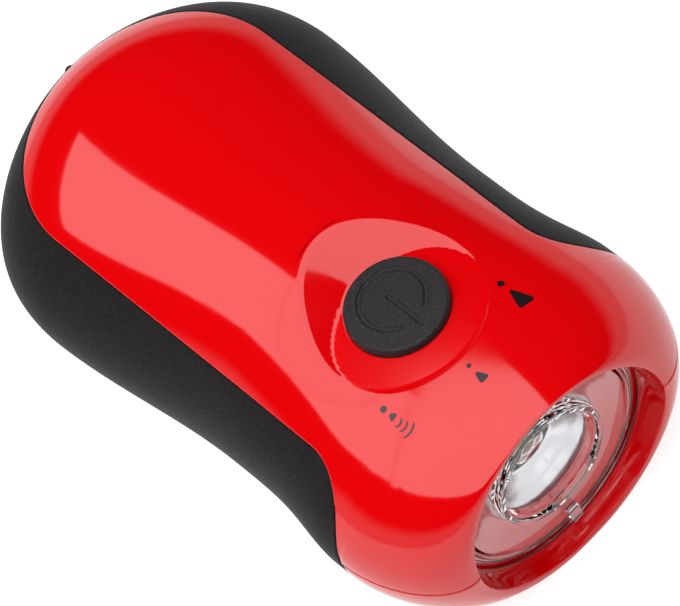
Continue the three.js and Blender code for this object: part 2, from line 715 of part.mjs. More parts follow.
// A lip along each straight side that slips under the edges of both shells
function bandLedge() {
  const outside = bodyForm(SHELL_WALL + FIT_GAP);
  const inside = bodyForm(SHELL_WALL + FIT_GAP + LEDGE_THICKNESS);
  const strips = [-SEAM_HALF_WIDTH, SEAM_HALF_WIDTH].map((x) => {
    const [inner, outer] = [x - Math.sign(x) * LEDGE_WIDTH, x + Math.sign(x) * LEDGE_ROOT];
    return block(Math.min(inner, outer), Math.max(inner, outer), -FLARE_Y, SEAM_TAIL_Y,
      -NOSE_LENGTH, NOSE_LENGTH);
  });
  const clearance = drum(SKIRT_RADIUS + FIT_GAP, -NOSE_LENGTH, SKIRT_TOP + FIT_GAP, 0, CRANK_Y);
  return cut(common(cut(outside, inside), join(...strips)), clearance, ...bossSpaces());
}

function gripBand() {
  const sides = cut(outerForm, bodyForm(BAND_WALL), seamPrism(FIT_GAP));
  const width = LANYARD_POCKET_HALF_WIDTH;
  const height = LANYARD_POCKET_HALF_HEIGHT;
  const wall = LANYARD_POCKET_WALL;
  const cup = common(outerForm, block(-width - wall, width + wall, LANYARD_POCKET_Y - wall,
    TAIL_LENGTH, -height - wall, height + wall));
  const pocket = block(-width, width, LANYARD_POCKET_Y, TAIL_LENGTH + OVERRUN, -height, height);
  const pinHole = drum(LANYARD_PIN_RADIUS + RUNNING_GAP, -height - FIT_GAP - wall / 2,
    LANYARD_PIN_TOP + OVERRUN, 0, LANYARD_PIN_Y, PIN_SIDES);
  return cut(join(sides, bandLedge(), cup), pocket, pinHole);
}

function lanyardPin() {
  const low = -LANYARD_POCKET_HALF_HEIGHT - LANYARD_POCKET_WALL / 2;
  return drum(LANYARD_PIN_RADIUS, low, LANYARD_PIN_TOP, 0, LANYARD_PIN_Y, PIN_SIDES);
}

// Lens, reflector and LED

// Shares of the ring between the collimator and the lens edge, and of the flange depth
const STEP_SHARES = [[0.68, 0.3], [0.72, 0], [0.8, 0], [0.84, 0.2]];
const BOWL_SHARES = [[0.46, 0.9], [0.8, 0.4]];
const RIM_WALL_SHARE = 0.89;

function lens() {
  const ring = LENS_RADIUS - COLLIMATOR_RADIUS;
  const rim = COLLIMATOR_RADIUS * RIM_WALL_SHARE;
  const tipPocket = LED_RADIUS + LED_FLANGE + FIT_GAP;
  const ledTip = LED_BOARD_Y - FIT_GAP - LED_LENGTH;
  const valley = LENS_FRONT_Y + LENS_FLANGE * (1 - RIM_WALL_SHARE) + LENS_FLANGE / 2;
  const bowl = BOWL_SHARES.map(([across, deep]) => [COLLIMATOR_RADIUS * across, LENS_FRONT_Y + BOWL_DEPTH * deep]);
  const steps = STEP_SHARES.map(([across, deep]) => [COLLIMATOR_RADIUS + ring * across, LENS_FRONT_Y + LENS_FLANGE * deep]);
  const body = turnedAlongY([
    [0, LENS_FRONT_Y + BOWL_DEPTH],
    ...bowl,
    [rim, LENS_FRONT_Y],
    [COLLIMATOR_RADIUS, LENS_FRONT_Y],
    [COLLIMATOR_RADIUS, valley],
    ...steps,
    [LENS_RADIUS, LENS_FRONT_Y],
    [LENS_RADIUS, LENS_BACK_Y],
    [BULKHEAD_BORE - FIT_GAP, LENS_BACK_Y],
    [COLLIMATOR_RADIUS, LENS_BACK_Y + LENS_FLANGE / 2],
    [CONE_TIP_RADIUS, CONE_TIP_Y],
    [tipPocket, CONE_TIP_Y],
    [tipPocket, ledTip + LED_RADIUS / 2],
    [LED_RADIUS / 2, ledTip - FIT_GAP],
    [0, ledTip - FIT_GAP],
  ]);
  const tabTop = -LENS_SIGHT_RADIUS + TAB_HEIGHT / 2;
  const tab = block(-TAB_WIDTH / 2, TAB_WIDTH / 2, LENS_FRONT_Y - TAB_LENGTH, LENS_BACK_Y,
    tabTop, tabTop + TAB_HEIGHT);
  return join(body, tab);
}

// Shares of the reflector's bore and depth, from its front lip to its neck
const REFLECTOR_SHARES = [[0.93, 0.16], [0.74, 0.49], [0.55, 0.79], [0.4, 1]];
const REFLECTOR_NECK_SHARE = 0.32;

function reflector() {
  const radius = BULKHEAD_BORE - FIT_GAP;
  const place = ([across, deep]) => [radius * across, REFLECTOR_FRONT_Y + REFLECTOR_DEPTH * deep];
  const outside = REFLECTOR_SHARES.map(place);
  const neck = radius * REFLECTOR_NECK_SHARE;
  const inside = outside.slice(0, -1).reverse().map(([across, y]) => [across - REFLECTOR_WALL / 2, y - REFLECTOR_WALL]);
  return turnedAlongY([
    [radius, REFLECTOR_FRONT_Y],
    [radius, REFLECTOR_FRONT_Y + REFLECTOR_WALL],
    ...outside,
    [neck, REFLECTOR_BACK_Y],
    [neck, REFLECTOR_BACK_Y - REFLECTOR_WALL],
    ...inside,
    [radius - REFLECTOR_WALL, REFLECTOR_FRONT_Y],
    [radius, REFLECTOR_FRONT_Y],
  ], SMALL_ROUND_SIDES);
}

const LED_DOME_STEPS = 4;

function led() {
  const base = LED_BOARD_Y - FIT_GAP;
  const shoulder = base - LED_LENGTH + LED_RADIUS;
  const dome = [];
  for (let i = 0; i <= LED_DOME_STEPS; i += 1) {
    const angle = (Math.PI / 2) * (i / LED_DOME_STEPS);
    dome.push([LED_RADIUS * Math.sin(angle), shoulder - LED_RADIUS * Math.cos(angle)]);
  }
  return turnedAlongY([
    ...dome,
    [LED_RADIUS, base - LED_FLANGE_LENGTH],
    [LED_RADIUS + LED_FLANGE, base - LED_FLANGE_LENGTH],
    [LED_RADIUS + LED_FLANGE, base],
    [0, base],
  ], SMALL_ROUND_SIDES);
}

function ledBoard() {
  return turnedAlongY([
    [0, LED_BOARD_Y],
    [LED_BOARD_RADIUS, LED_BOARD_Y],
    [LED_BOARD_RADIUS, LED_BOARD_Y + BOARD_THICKNESS],
    [0, LED_BOARD_Y + BOARD_THICKNESS],
  ], SMALL_ROUND_SIDES);
}

// Button and switch, built about their own upright axis

const FLANGE_LOW = DECK_HEIGHT - FIT_GAP - BUTTON_FLANGE_HEIGHT;

function powerButton() {
  const outer = BUTTON_RADIUS;
  const inner = BUTTON_RADIUS - BUTTON_WALL;
  const ceiling = BUTTON_TOP - BUTTON_WALL;
  const flange = BUTTON_RADIUS + BUTTON_FLANGE;
  return turned([
    [0, ceiling - BUTTON_STEM],
    [BUTTON_STEM_RADIUS, ceiling - BUTTON_STEM],
    [BUTTON_STEM_RADIUS, ceiling],
    [inner, ceiling],
    [inner, FLANGE_LOW],
    [flange, FLANGE_LOW],
    [flange, FLANGE_LOW + BUTTON_FLANGE_HEIGHT],
    [outer, FLANGE_LOW + BUTTON_FLANGE_HEIGHT],
    [outer, BUTTON_TOP - BUTTON_EDGE],
    [outer - BUTTON_EDGE / 3, BUTTON_TOP - BUTTON_EDGE / 3],
    [outer - BUTTON_EDGE, BUTTON_TOP],
    [0, BUTTON_TOP + BUTTON_CROWN],
  ]);
}

const SWITCH_Z = CIRCUIT_Z + BOARD_THICKNESS + FIT_GAP;
const PLUNGER_TOP = BUTTON_TOP - BUTTON_WALL - BUTTON_STEM - FIT_GAP;

function switchBody() {
  const half = SWITCH_WIDTH / 2;
  const body = block(-half, half, -half, half, SWITCH_Z, SWITCH_Z + SWITCH_HEIGHT);
  const low = PLUNGER_TOP - PLUNGER_LENGTH - FIT_GAP - PLUNGER_RADIUS / 2;
  return cut(body, drum(PLUNGER_RADIUS + RUNNING_GAP, low, PLUNGER_TOP, 0, 0, PIN_SIDES));
}

const switchPlunger = () => drum(PLUNGER_RADIUS, PLUNGER_TOP - PLUNGER_LENGTH, PLUNGER_TOP, 0, 0, PIN_SIDES);

// Circuit board with its parts on the underside, battery and wires

function circuitBoard() {
  const top = CIRCUIT_Z + BOARD_THICKNESS;
  const half = CIRCUIT_HALF_WIDTH;
  const board = block(-half, half, -CIRCUIT_FRONT, -CIRCUIT_BACK, CIRCUIT_Z, top);
  const middle = -(CIRCUIT_FRONT + CIRCUIT_BACK) / 2;
  const capacitor = drum(CAPACITOR_RADIUS, CIRCUIT_Z - CAPACITOR_LENGTH, top - BOARD_THICKNESS / 2,
    0, middle, PIN_SIDES);
  const chipX = half / 2 + CHIP_WIDTH / 2;
  const chip = block(chipX - CHIP_WIDTH / 2, chipX + CHIP_WIDTH / 2, middle - CHIP_LENGTH / 2,
    middle + CHIP_LENGTH / 2, CIRCUIT_Z - CHIP_HEIGHT, CIRCUIT_Z + BOARD_THICKNESS / 2);
  const diodes = [-1, 0, 1].map((place) => rod(DIODE_RADIUS, -chipX - DIODE_LENGTH / 2,
    -chipX + DIODE_LENGTH / 2, middle + place * DIODE_SPACING, CIRCUIT_Z - DIODE_RADIUS / 2, PIN_SIDES));
  const holes = boardPostPlaces.slice(0, 2).map(([x, y]) =>
    drum(SMALL_SCREW_RADIUS + RUNNING_GAP, CIRCUIT_Z - OVERRUN, top + OVERRUN, x, y, PIN_SIDES));
  return cut(join(board, capacitor, chip, ...diodes), ...holes);
}

const CELLS = 3;

// Cells in a sleeve that draws in a little between them
function batteryPack() {
  const cell = BATTERY_LENGTH / CELLS;
  const profile = [[0, -BATTERY_LENGTH / 2], [BATTERY_RADIUS, -BATTERY_LENGTH / 2]];
  for (let i = 1; i < CELLS; i += 1) {
    const joint = i * cell - BATTERY_LENGTH / 2;
    profile.push([BATTERY_RADIUS, joint - CELL_GROOVE], [BATTERY_RADIUS - CELL_GROOVE, joint]);
    profile.push([BATTERY_RADIUS, joint + CELL_GROOVE]);
  }
  profile.push([BATTERY_RADIUS, BATTERY_LENGTH / 2], [0, BATTERY_LENGTH / 2]);
  return turned(profile, SMALL_ROUND_SIDES);
}

const WIRE_SIDES = 3;
const WIRE_STEPS = 4;

// A lead between two points, bowed forward or back a little
function wire(from, to, bow) {
  const middle = from.clone().add(to).divideScalar(2).add(bow);
  const route = new THREE.CatmullRomCurve3([from, middle, to]);
  const section = new THREE.Shape();
  section.absarc(0, 0, WIRE_RADIUS, 0, 2 * Math.PI, false);
  const options = { steps: WIRE_STEPS, bevelEnabled: false, extrudePath: route, curveSegments: WIRE_SIDES };
  return solid(new THREE.ExtrudeGeometry(section, options));
}

function wires() {
  const top = CIRCUIT_Z - FIT_GAP;
  const at = (x, y, z) => new THREE.Vector3(x, y, z);
  const ledY = LED_BOARD_Y + BOARD_THICKNESS + FIT_GAP + WIRE_RADIUS;
  const cellX = BATTERY_LENGTH / 2 + FIT_GAP + WIRE_RADIUS;
  const coilY = -GENERATOR_Y - STATOR_RADIUS - FIT_GAP - WIRE_RADIUS;
  const coilZ = PLATE_Z - STATOR_DEPTH / 3;
  const runs = [];
  for (const [side, colour] of [[-1, 'black'], [1, 'red']]) {
    const ledX = side * LED_WIRE_X;
    runs.push([`led_wire_${colour}`, wire(at(ledX, ledY, 0), at(ledX, ledY, top), at(0, WIRE_BOW, 0))]);
    const x = side * cellX;
    runs.push([`battery_wire_${colour}`,
      wire(at(x, -BATTERY_Y, BATTERY_Z), at(x, -BATTERY_Y - BATTERY_WIRE_LEAN, top), at(side * WIRE_BOW, 0, 0))]);
    const coilX = side * GENERATOR_WIRE_X;
    runs.push([`generator_wire_${colour}`,
      wire(at(coilX, coilY, coilZ), at(coilX, coilY, top), at(0, -WIRE_BOW, 0))]);
  }
  return runs;
}

// Crank, built about its own upright axis

const DISC_LOW = DISC_RECESS - FLAT_DEPTH;
const FLOOR_Z = DISC_LOW + WELL_DEPTH;
const FLOOR_TOP = FLOOR_Z + DISC_FLOOR;
const HINGE_Z = DISC_LOW + BARREL_RADIUS;
const ARM_HIGH = FLOOR_Z - FIT_GAP - DISC_RECESS / 2;
const ARM_LOW = ARM_HIGH - ARM_THICKNESS;
const KNOB_LOW = ARM_HIGH + FIT_GAP;
const KNOB_TOP = KNOB_LOW + KNOB_LENGTH;
const KNOB_Y = HINGE_Y - ARM_LENGTH;
const POCKET_TOP = KNOB_TOP + 3 * FIT_GAP;
const POCKET_RADIUS = KNOB_RADIUS + 3 * FIT_GAP;
const NOTCH_HALF_WIDTH = ARM_HALF_WIDTH + FIT_GAP;

const hexagon = (radius, low, high) => drum(radius, low, high, 0, 0, 6);

// A round-ended slot along Y, from the knob outward
function pocketForm(radius, low, high) {
  const near = drum(radius, low, high, 0, KNOB_Y, SMALL_ROUND_SIDES);
  const far = drum(radius, low, high, 0, KNOB_Y - POCKET_TRAVEL, SMALL_ROUND_SIDES);
  const between = block(-radius, radius, KNOB_Y - POCKET_TRAVEL, KNOB_Y, low, high);
  return join(near, far, between);
}

function crankDisc() {
  const disc = drum(DISC_RADIUS, DISC_LOW, FLOOR_TOP);
  const well = drum(DISC_RADIUS - DISC_WALL, DISC_LOW - OVERRUN, FLOOR_Z);
  const notch = block(-NOTCH_HALF_WIDTH, NOTCH_HALF_WIDTH, 0, DISC_RADIUS + OVERRUN,
    DISC_LOW - OVERRUN, FLOOR_Z);
  const lugWidth = NOTCH_HALF_WIDTH + LUG_WIDTH;
  const lugs = common(drum(DISC_RADIUS, DISC_LOW, FLOOR_Z + DISC_FLOOR / 2), block(-lugWidth, lugWidth,
    HINGE_Y - LUG_DEPTH / 2, DISC_RADIUS, DISC_LOW, FLOOR_Z + DISC_FLOOR / 2));
  const hub = drum(SHAFT_HEX_RADIUS + FIT_GAP + HUB_WALL, FLOOR_Z, FLOOR_TOP + HUB_HEIGHT,
    0, 0, SMALL_ROUND_SIDES);
  const cup = common(pocketForm(POCKET_RADIUS + POCKET_WALL, FLOOR_Z, POCKET_TOP + POCKET_WALL),
    drum(DISC_RADIUS - DISC_WALL / 2, FLOOR_Z, POCKET_TOP + POCKET_WALL));
  const pinReach = NOTCH_HALF_WIDTH + LUG_WIDTH * 0.8;
  const screwSeat = FLOOR_Z + SCREW_SEAT;
  return cut(
    join(cut(disc, well), lugs, hub, cup),
    notch,
    rod(HINGE_RADIUS + RUNNING_GAP, -pinReach, pinReach, HINGE_Y, HINGE_Z),
    pocketForm(POCKET_RADIUS, FLOOR_Z - OVERRUN, POCKET_TOP),
    drum(CRANK_SCREW_HEAD + FIT_GAP, FLOOR_Z - OVERRUN, screwSeat, 0, 0, PIN_SIDES),
    drum(CRANK_SCREW_RADIUS + FIT_GAP, FLOOR_Z, FLOOR_TOP, 0, 0, PIN_SIDES),
    hexagon(SHAFT_HEX_RADIUS + FIT_GAP, screwSeat + SCREW_SEAT, FLOOR_TOP + HUB_HEIGHT + OVERRUN),
  );
}

function armPlan() {
  const shape = new THREE.Shape();
  const end = HINGE_Y + BARREL_RADIUS + OVERRUN;
  shape.moveTo(ARM_HALF_WIDTH, end);
  shape.lineTo(-ARM_HALF_WIDTH, end);
  shape.lineTo(-ARM_HALF_WIDTH, HINGE_Y - ARM_TAPER_LENGTH);
  shape.lineTo(-ARM_TIP_RADIUS, KNOB_Y);
  shape.absarc(0, KNOB_Y, ARM_TIP_RADIUS, Math.PI, 2 * Math.PI, false);
  shape.lineTo(ARM_HALF_WIDTH, HINGE_Y - ARM_TAPER_LENGTH);
  return shape;
}

function crankArm() {
  const reach = ARM_TIP_RADIUS;
  const neckBack = HINGE_Y + HINGE_RADIUS / 2;
  const plate = block(-reach, reach, KNOB_Y - reach, neckBack, ARM_LOW, ARM_HIGH);
  const neck = block(-reach, reach, neckBack - NECK_LENGTH, neckBack, HINGE_Z, ARM_HIGH);
  const barrel = rod(BARREL_RADIUS, -reach, reach, HINGE_Y, HINGE_Z, SMALL_ROUND_SIDES);
  const arm = common(join(plate, neck, barrel), prism(armPlan(), DISC_LOW, FLOOR_Z));
  const thumb = rod(THUMB_RADIUS, -reach - OVERRUN, reach + OVERRUN, KNOB_Y + ARM_TIP_RADIUS,
    ARM_LOW - THUMB_RADIUS + THUMB_DEPTH, ROUND_SIDES);
  return cut(
    arm,
    thumb,
    rod(HINGE_RADIUS + RUNNING_GAP, -reach - OVERRUN, reach + OVERRUN, HINGE_Y, HINGE_Z),
    drum(KNOB_PIN_RADIUS + RUNNING_GAP, ARM_LOW - OVERRUN, FLOOR_Z, 0, KNOB_Y, PIN_SIDES),
  );
}

function hingePin() {
  const reach = NOTCH_HALF_WIDTH + LUG_WIDTH / 2;
  return rod(HINGE_RADIUS, -reach, reach, HINGE_Y, HINGE_Z);
}

// The knob about its own axis: a spool with a recess for the pin's head
function crankKnob() {
  const bore = KNOB_PIN_RADIUS + RUNNING_GAP;
  const recess = KNOB_PIN_HEAD_RADIUS + FIT_GAP;
  const recessLow = KNOB_TOP - KNOB_PIN_HEAD - FIT_GAP;
  return turned([
    [bore, KNOB_LOW],
    [KNOB_RADIUS - KNOB_EDGE, KNOB_LOW],
    [KNOB_RADIUS, KNOB_LOW + KNOB_EDGE],
    [KNOB_RADIUS, KNOB_LOW + 2 * KNOB_EDGE],
    [KNOB_WAIST_RADIUS, (KNOB_LOW + KNOB_TOP) / 2],
    [KNOB_TIP_RADIUS, KNOB_TOP - KNOB_EDGE],
    [KNOB_TIP_RADIUS - KNOB_EDGE, KNOB_TOP],
    [recess, KNOB_TOP],
    [recess, recessLow],
    [bore, recessLow],
    [bore, KNOB_LOW],
  ], SMALL_ROUND_SIDES);
}

function knobPin() {
  const headLow = KNOB_TOP - KNOB_PIN_HEAD;
  return turned([
    [0, ARM_LOW + RUNNING_GAP],
    [KNOB_PIN_RADIUS, ARM_LOW + RUNNING_GAP],
    [KNOB_PIN_RADIUS, headLow],
    [KNOB_PIN_HEAD_RADIUS, headLow],
    [KNOB_PIN_HEAD_RADIUS, KNOB_TOP],
    [0, KNOB_TOP],
  ], PIN_SIDES);
}

// Levels of the gear train
const GEAR_1_Z = PLATE_Z + PLATE_THICKNESS + FIT_GAP;
const GEAR_2_Z = GEAR_1_Z + GEAR_HEIGHT + FIT_GAP;
const GEAR_3_Z = GEAR_2_Z + UPPER_GEAR_HEIGHT + FIT_GAP;
const BRIDGE_Z = GEAR_3_Z + UPPER_GEAR_HEIGHT + FIT_GAP;
const BRIDGE_TOP = BRIDGE_Z + BRIDGE_THICKNESS;
const CLIP_Z = GEAR_1_Z + GEAR_HEIGHT + FIT_GAP;

function crankShaft() {
  const low = FLOOR_Z + 2 * SCREW_SEAT + FIT_GAP;
  const journalLow = FLOOR_TOP + HUB_HEIGHT;
  const grooveRadius = SHAFT_HEX_RADIUS - CLIP_GROOVE;
  const grooveLow = CLIP_Z - RUNNING_GAP / 2;
  const grooveHigh = CLIP_Z + CLIP_THICKNESS + RUNNING_GAP / 2;
  const body = join(
    hexagon(SHAFT_HEX_RADIUS, low, journalLow),
    drum(SHAFT_RADIUS, journalLow, GEAR_1_Z, 0, 0, SMALL_ROUND_SIDES),
    hexagon(SHAFT_HEX_RADIUS, GEAR_1_Z, grooveLow),
    drum(grooveRadius, grooveLow, grooveHigh, 0, 0, PIN_SIDES),
    hexagon(SHAFT_HEX_RADIUS, grooveHigh, grooveHigh + CLIP_THICKNESS),
  );
  return cut(body, drum(CRANK_SCREW_RADIUS + RUNNING_GAP, low - OVERRUN, low + CRANK_SCREW_LENGTH,
    0, 0, PIN_SIDES));
}

function crankScrew() {
  const head = SCREW_SEAT - FIT_GAP / 3;
  const form = geometryOf(screw(CRANK_SCREW_RADIUS, CRANK_SCREW_LENGTH, CRANK_SCREW_HEAD, head - RUNNING_GAP));
  return solid(form.rotateX(Math.PI).translate(0, 0, FLOOR_Z + head + CRANK_SCREW_LENGTH - RUNNING_GAP));
}

function shaftBush() {
  const inner = SHAFT_RADIUS + RUNNING_GAP;
  const low = PLATE_Z - FIT_GAP - BUSH_FLANGE_THICKNESS;
  return join(
    tube(inner, inner + BUSH_WALL, low, PLATE_Z + PLATE_THICKNESS, 0, 0, SMALL_ROUND_SIDES),
    tube(inner, inner + BUSH_WALL + BUSH_FLANGE, low, low + BUSH_FLANGE_THICKNESS, 0, 0, SMALL_ROUND_SIDES),
  );
}

// An open spring clip in the shaft's groove
function shaftClip() {
  const inner = SHAFT_HEX_RADIUS - CLIP_GROOVE + RUNNING_GAP;
  const ring = tube(inner, inner + CLIP_WALL, CLIP_Z, CLIP_Z + CLIP_THICKNESS, 0, 0, SMALL_ROUND_SIDES);
  const mouth = inner * 0.7;
  return cut(ring, block(-mouth, mouth, 0, 2 * (inner + CLIP_WALL), CLIP_Z - OVERRUN, CLIP_Z + OVERRUN));
}

// Gears

const pitchRadius = (teeth) => (TOOTH_SIZE * teeth) / 2;
const spacing = (first, second) => pitchRadius(first) + pitchRadius(second);

function toothedShape(teeth, phase) {
  const tip = pitchRadius(teeth) + TOOTH_SIZE * ADDENDUM_SHARE;
  const root = pitchRadius(teeth) - TOOTH_SIZE * DEDENDUM_SHARE;
  const thickness = (Math.PI * TOOTH_SIZE) / 2 - TOOTH_PLAY;
  const step = (2 * Math.PI) / teeth;
  const shape = new THREE.Shape();
  for (let tooth = 0; tooth < teeth; tooth += 1) {
    const centre = phase + tooth * step;
    const corners = [
      [root, -ROOT_WIDTH_SHARE],
      [tip, -TIP_WIDTH_SHARE],
      [tip, TIP_WIDTH_SHARE],
      [root, ROOT_WIDTH_SHARE],
    ];
    corners.forEach(([radius, side], k) => {
      const angle = centre + (side * thickness) / (2 * radius);
      const place = [radius * Math.cos(angle), radius * Math.sin(angle)];
      if (tooth === 0 && k === 0) shape.moveTo(...place);
      else shape.lineTo(...place);
    });
  }
  return shape;
}

const gearWheel = (teeth, phase, low, high) => prism(toothedShape(teeth, phase), low, high);

// The turn that brings a gear into mesh with one that it meets along a bearing
function meshedPhase(teeth, otherTeeth, otherPhase, bearing) {
  return bearing + Math.PI + ((bearing - otherPhase) * otherTeeth) / teeth + Math.PI / teeth;
}

const crankPlace = new THREE.Vector2(0, CRANK_Y);
const rotorPlace = new THREE.Vector2(0, -GENERATOR_Y);
const driveBearing = THREE.MathUtils.degToRad(IDLER_BEARING_DEG);
const idler1Place = new THREE.Vector2(Math.cos(driveBearing), Math.sin(driveBearing))
  .multiplyScalar(spacing(DRIVE_TEETH, PINION_TEETH)).add(crankPlace);

// The point at given distances from two places, on the left of the way between them
function crossing(first, firstDistance, second, secondDistance) {
  const way = second.clone().sub(first);
  const length = way.length();
  const along = (firstDistance ** 2 - secondDistance ** 2 + length ** 2) / (2 * length);
  const aside = Math.sqrt(firstDistance ** 2 - along ** 2);
  const unit = way.divideScalar(length);
  return first.clone().addScaledVector(unit, along)
    .add(new THREE.Vector2(unit.y, -unit.x).multiplyScalar(aside));
}

const idler2Place = crossing(idler1Place, spacing(IDLER_1_TEETH, PINION_TEETH),
  rotorPlace, spacing(IDLER_2_TEETH, ROTOR_TEETH));
const bearingTo = (from, to) => Math.atan2(to.y - from.y, to.x - from.x);
const idler1Phase = meshedPhase(PINION_TEETH, DRIVE_TEETH, 0, driveBearing);
const idler2Phase = meshedPhase(PINION_TEETH, IDLER_1_TEETH, idler1Phase, bearingTo(idler1Place, idler2Place));
const rotorPhase = meshedPhase(ROTOR_TEETH, IDLER_2_TEETH, idler2Phase, bearingTo(idler2Place, rotorPlace));

function driveGear() {
  const top = GEAR_1_Z + GEAR_HEIGHT;
  const holes = [];
  for (let i = 0; i < SPOKE_HOLES; i += 1) {
    const angle = (2 * Math.PI * i) / SPOKE_HOLES;
    holes.push(drum(SPOKE_HOLE_RADIUS, GEAR_1_Z - OVERRUN, top + OVERRUN,
      SPOKE_RING_RADIUS * Math.cos(angle), SPOKE_RING_RADIUS * Math.sin(angle), PIN_SIDES));
  }
  const bore = hexagon(SHAFT_HEX_RADIUS + RUNNING_GAP, GEAR_1_Z - OVERRUN, top + OVERRUN);
  return cut(gearWheel(DRIVE_TEETH, 0, GEAR_1_Z, top), bore, ...holes);
}

function idlerGear1() {
  const wheelTop = GEAR_2_Z + UPPER_GEAR_HEIGHT;
  const hubTop = BRIDGE_Z - FIT_GAP;
  const body = join(
    gearWheel(PINION_TEETH, idler1Phase, GEAR_1_Z, GEAR_2_Z),
    gearWheel(IDLER_1_TEETH, idler1Phase, GEAR_2_Z, wheelTop),
    drum(IDLER_HUB_RADIUS, wheelTop, hubTop, 0, 0, PIN_SIDES),
  );
  return cut(body, drum(IDLER_PIN_RADIUS + RUNNING_GAP, GEAR_1_Z - OVERRUN, hubTop + OVERRUN, 0, 0, PIN_SIDES));
}

function idlerGear2() {
  const wheelTop = BRIDGE_Z - FIT_GAP;
  const body = join(
    drum(IDLER_HUB_RADIUS, GEAR_1_Z, GEAR_2_Z, 0, 0, PIN_SIDES),
    gearWheel(PINION_TEETH, idler2Phase, GEAR_2_Z, GEAR_3_Z),
    gearWheel(IDLER_2_TEETH, idler2Phase, GEAR_3_Z, wheelTop),
  );
  return cut(body, drum(IDLER_PIN_RADIUS + RUNNING_GAP, GEAR_1_Z - OVERRUN, wheelTop + OVERRUN, 0, 0, PIN_SIDES));
}

function rotorPinion() {
  const top = BRIDGE_Z - FIT_GAP;
  const body = join(
    drum(IDLER_HUB_RADIUS, GEAR_1_Z, GEAR_3_Z, 0, 0, PIN_SIDES),
    gearWheel(ROTOR_TEETH, rotorPhase, GEAR_3_Z, top),
  );
  return cut(body, drum(ROTOR_SHAFT_RADIUS + RUNNING_GAP, GEAR_1_Z - OVERRUN, top + OVERRUN, 0, 0, PIN_SIDES));
}

const idlerPin = () => drum(IDLER_PIN_RADIUS, PLATE_Z, BRIDGE_TOP, 0, 0, PIN_SIDES);

// Gear plate and bridge

// Places of the bridge's pillars: beside the drive gear and round the generator
const pillarPlaces = [
  [-LEFT_PILLAR_X, CRANK_Y - LEFT_PILLAR_AHEAD],
  [RIGHT_PILLAR_X, CRANK_Y - RIGHT_PILLAR_AHEAD],
  [-FRONT_LEFT_PILLAR_X, -GENERATOR_Y - FRONT_LEFT_PILLAR_AHEAD],
  [FRONT_RIGHT_PILLAR_X, -GENERATOR_Y - FRONT_RIGHT_PILLAR_AHEAD],
];

function plateHoles(low, high) {
  const pinHole = IDLER_PIN_RADIUS + RUNNING_GAP;
  return [
    drum(pinHole, low, high, idler1Place.x, idler1Place.y, PIN_SIDES),
    drum(pinHole, low, high, idler2Place.x, idler2Place.y, PIN_SIDES),
    drum(ROTOR_SHAFT_RADIUS + RUNNING_GAP, low, high, rotorPlace.x, rotorPlace.y, PIN_SIDES),
  ];
}

function gearPlate() {
  const reach = NOSE_LENGTH;
  const top = PLATE_Z + PLATE_THICKNESS;
  const slab = common(bodyForm(PLATE_INSET), block(-reach, reach, -PLATE_FRONT, PLATE_BACK, PLATE_Z, top));
  const pillars = pillarPlaces.map(([x, y]) =>
    drum(PILLAR_RADIUS, PLATE_Z, BRIDGE_Z - FIT_GAP, x, y, PIN_SIDES));
  const pilots = pillarPlaces.map(([x, y]) =>
    drum(SMALL_SCREW_RADIUS + RUNNING_GAP, BRIDGE_Z - SMALL_SCREW_LENGTH, BRIDGE_Z, x, y, PIN_SIDES));
  const bushRadius = SHAFT_RADIUS + RUNNING_GAP + BUSH_WALL + RUNNING_GAP;
  const low = PLATE_Z - OVERRUN;
  const high = top + OVERRUN;
  return cut(
    join(slab, ...pillars),
    ...pilots,
    drum(bushRadius, low, high, 0, CRANK_Y, SMALL_ROUND_SIDES),
    ...shellScrewPlaces.map(([x, y]) => drum(BOSS_RADIUS + FIT_GAP, low, high, x, y, PIN_SIDES)),
    ...plateScrewPlaces.map(([x, y]) => drum(SMALL_SCREW_RADIUS + RUNNING_GAP, low, high, x, y, PIN_SIDES)),
    ...plateHoles(low, high),
  );
}

function gearBridge() {
  const reach = NOSE_LENGTH;
  const slab = common(bodyForm(BRIDGE_INSET), block(-reach, reach, -BRIDGE_FRONT, BRIDGE_BACK, BRIDGE_Z, BRIDGE_TOP));
  const low = BRIDGE_Z - OVERRUN;
  const high = BRIDGE_TOP + OVERRUN;
  const windows = [[-SPOKE_RING_RADIUS, BRIDGE_BACK / 2], [0, BRIDGE_BACK], [BRIDGE_FRONT, -SPOKE_HOLE_RADIUS]];
  return cut(
    slab,
    ...windows.map(([x, y]) => drum(WINDOW_RADIUS, low, high, x, y, PIN_SIDES)),
    ...pillarPlaces.map(([x, y]) => drum(SMALL_SCREW_RADIUS + RUNNING_GAP, low, high, x, y, PIN_SIDES)),
    ...plateHoles(low, high),
  );
}

// Generator, built about its own upright axis

const STATOR_TOP = PLATE_Z - FIT_GAP;
const STATOR_LOW = STATOR_TOP - STATOR_DEPTH;
const STATOR_MIDDLE = (STATOR_TOP + STATOR_LOW) / 2;

// Corners of a claw's section at a height
function clawRing(halfAngle, height) {
  const ring = [];
  for (const [radius, side] of [[0, -1], [0, 1], [STATOR_WALL, 1], [STATOR_WALL, -1]]) {
    const angle = side * THREE.MathUtils.degToRad(halfAngle);
    const reach = CLAW_RADIUS + radius;
    ring.push(new THREE.Vector3(reach * Math.cos(angle), reach * Math.sin(angle), height));
  }
  return ring;
}

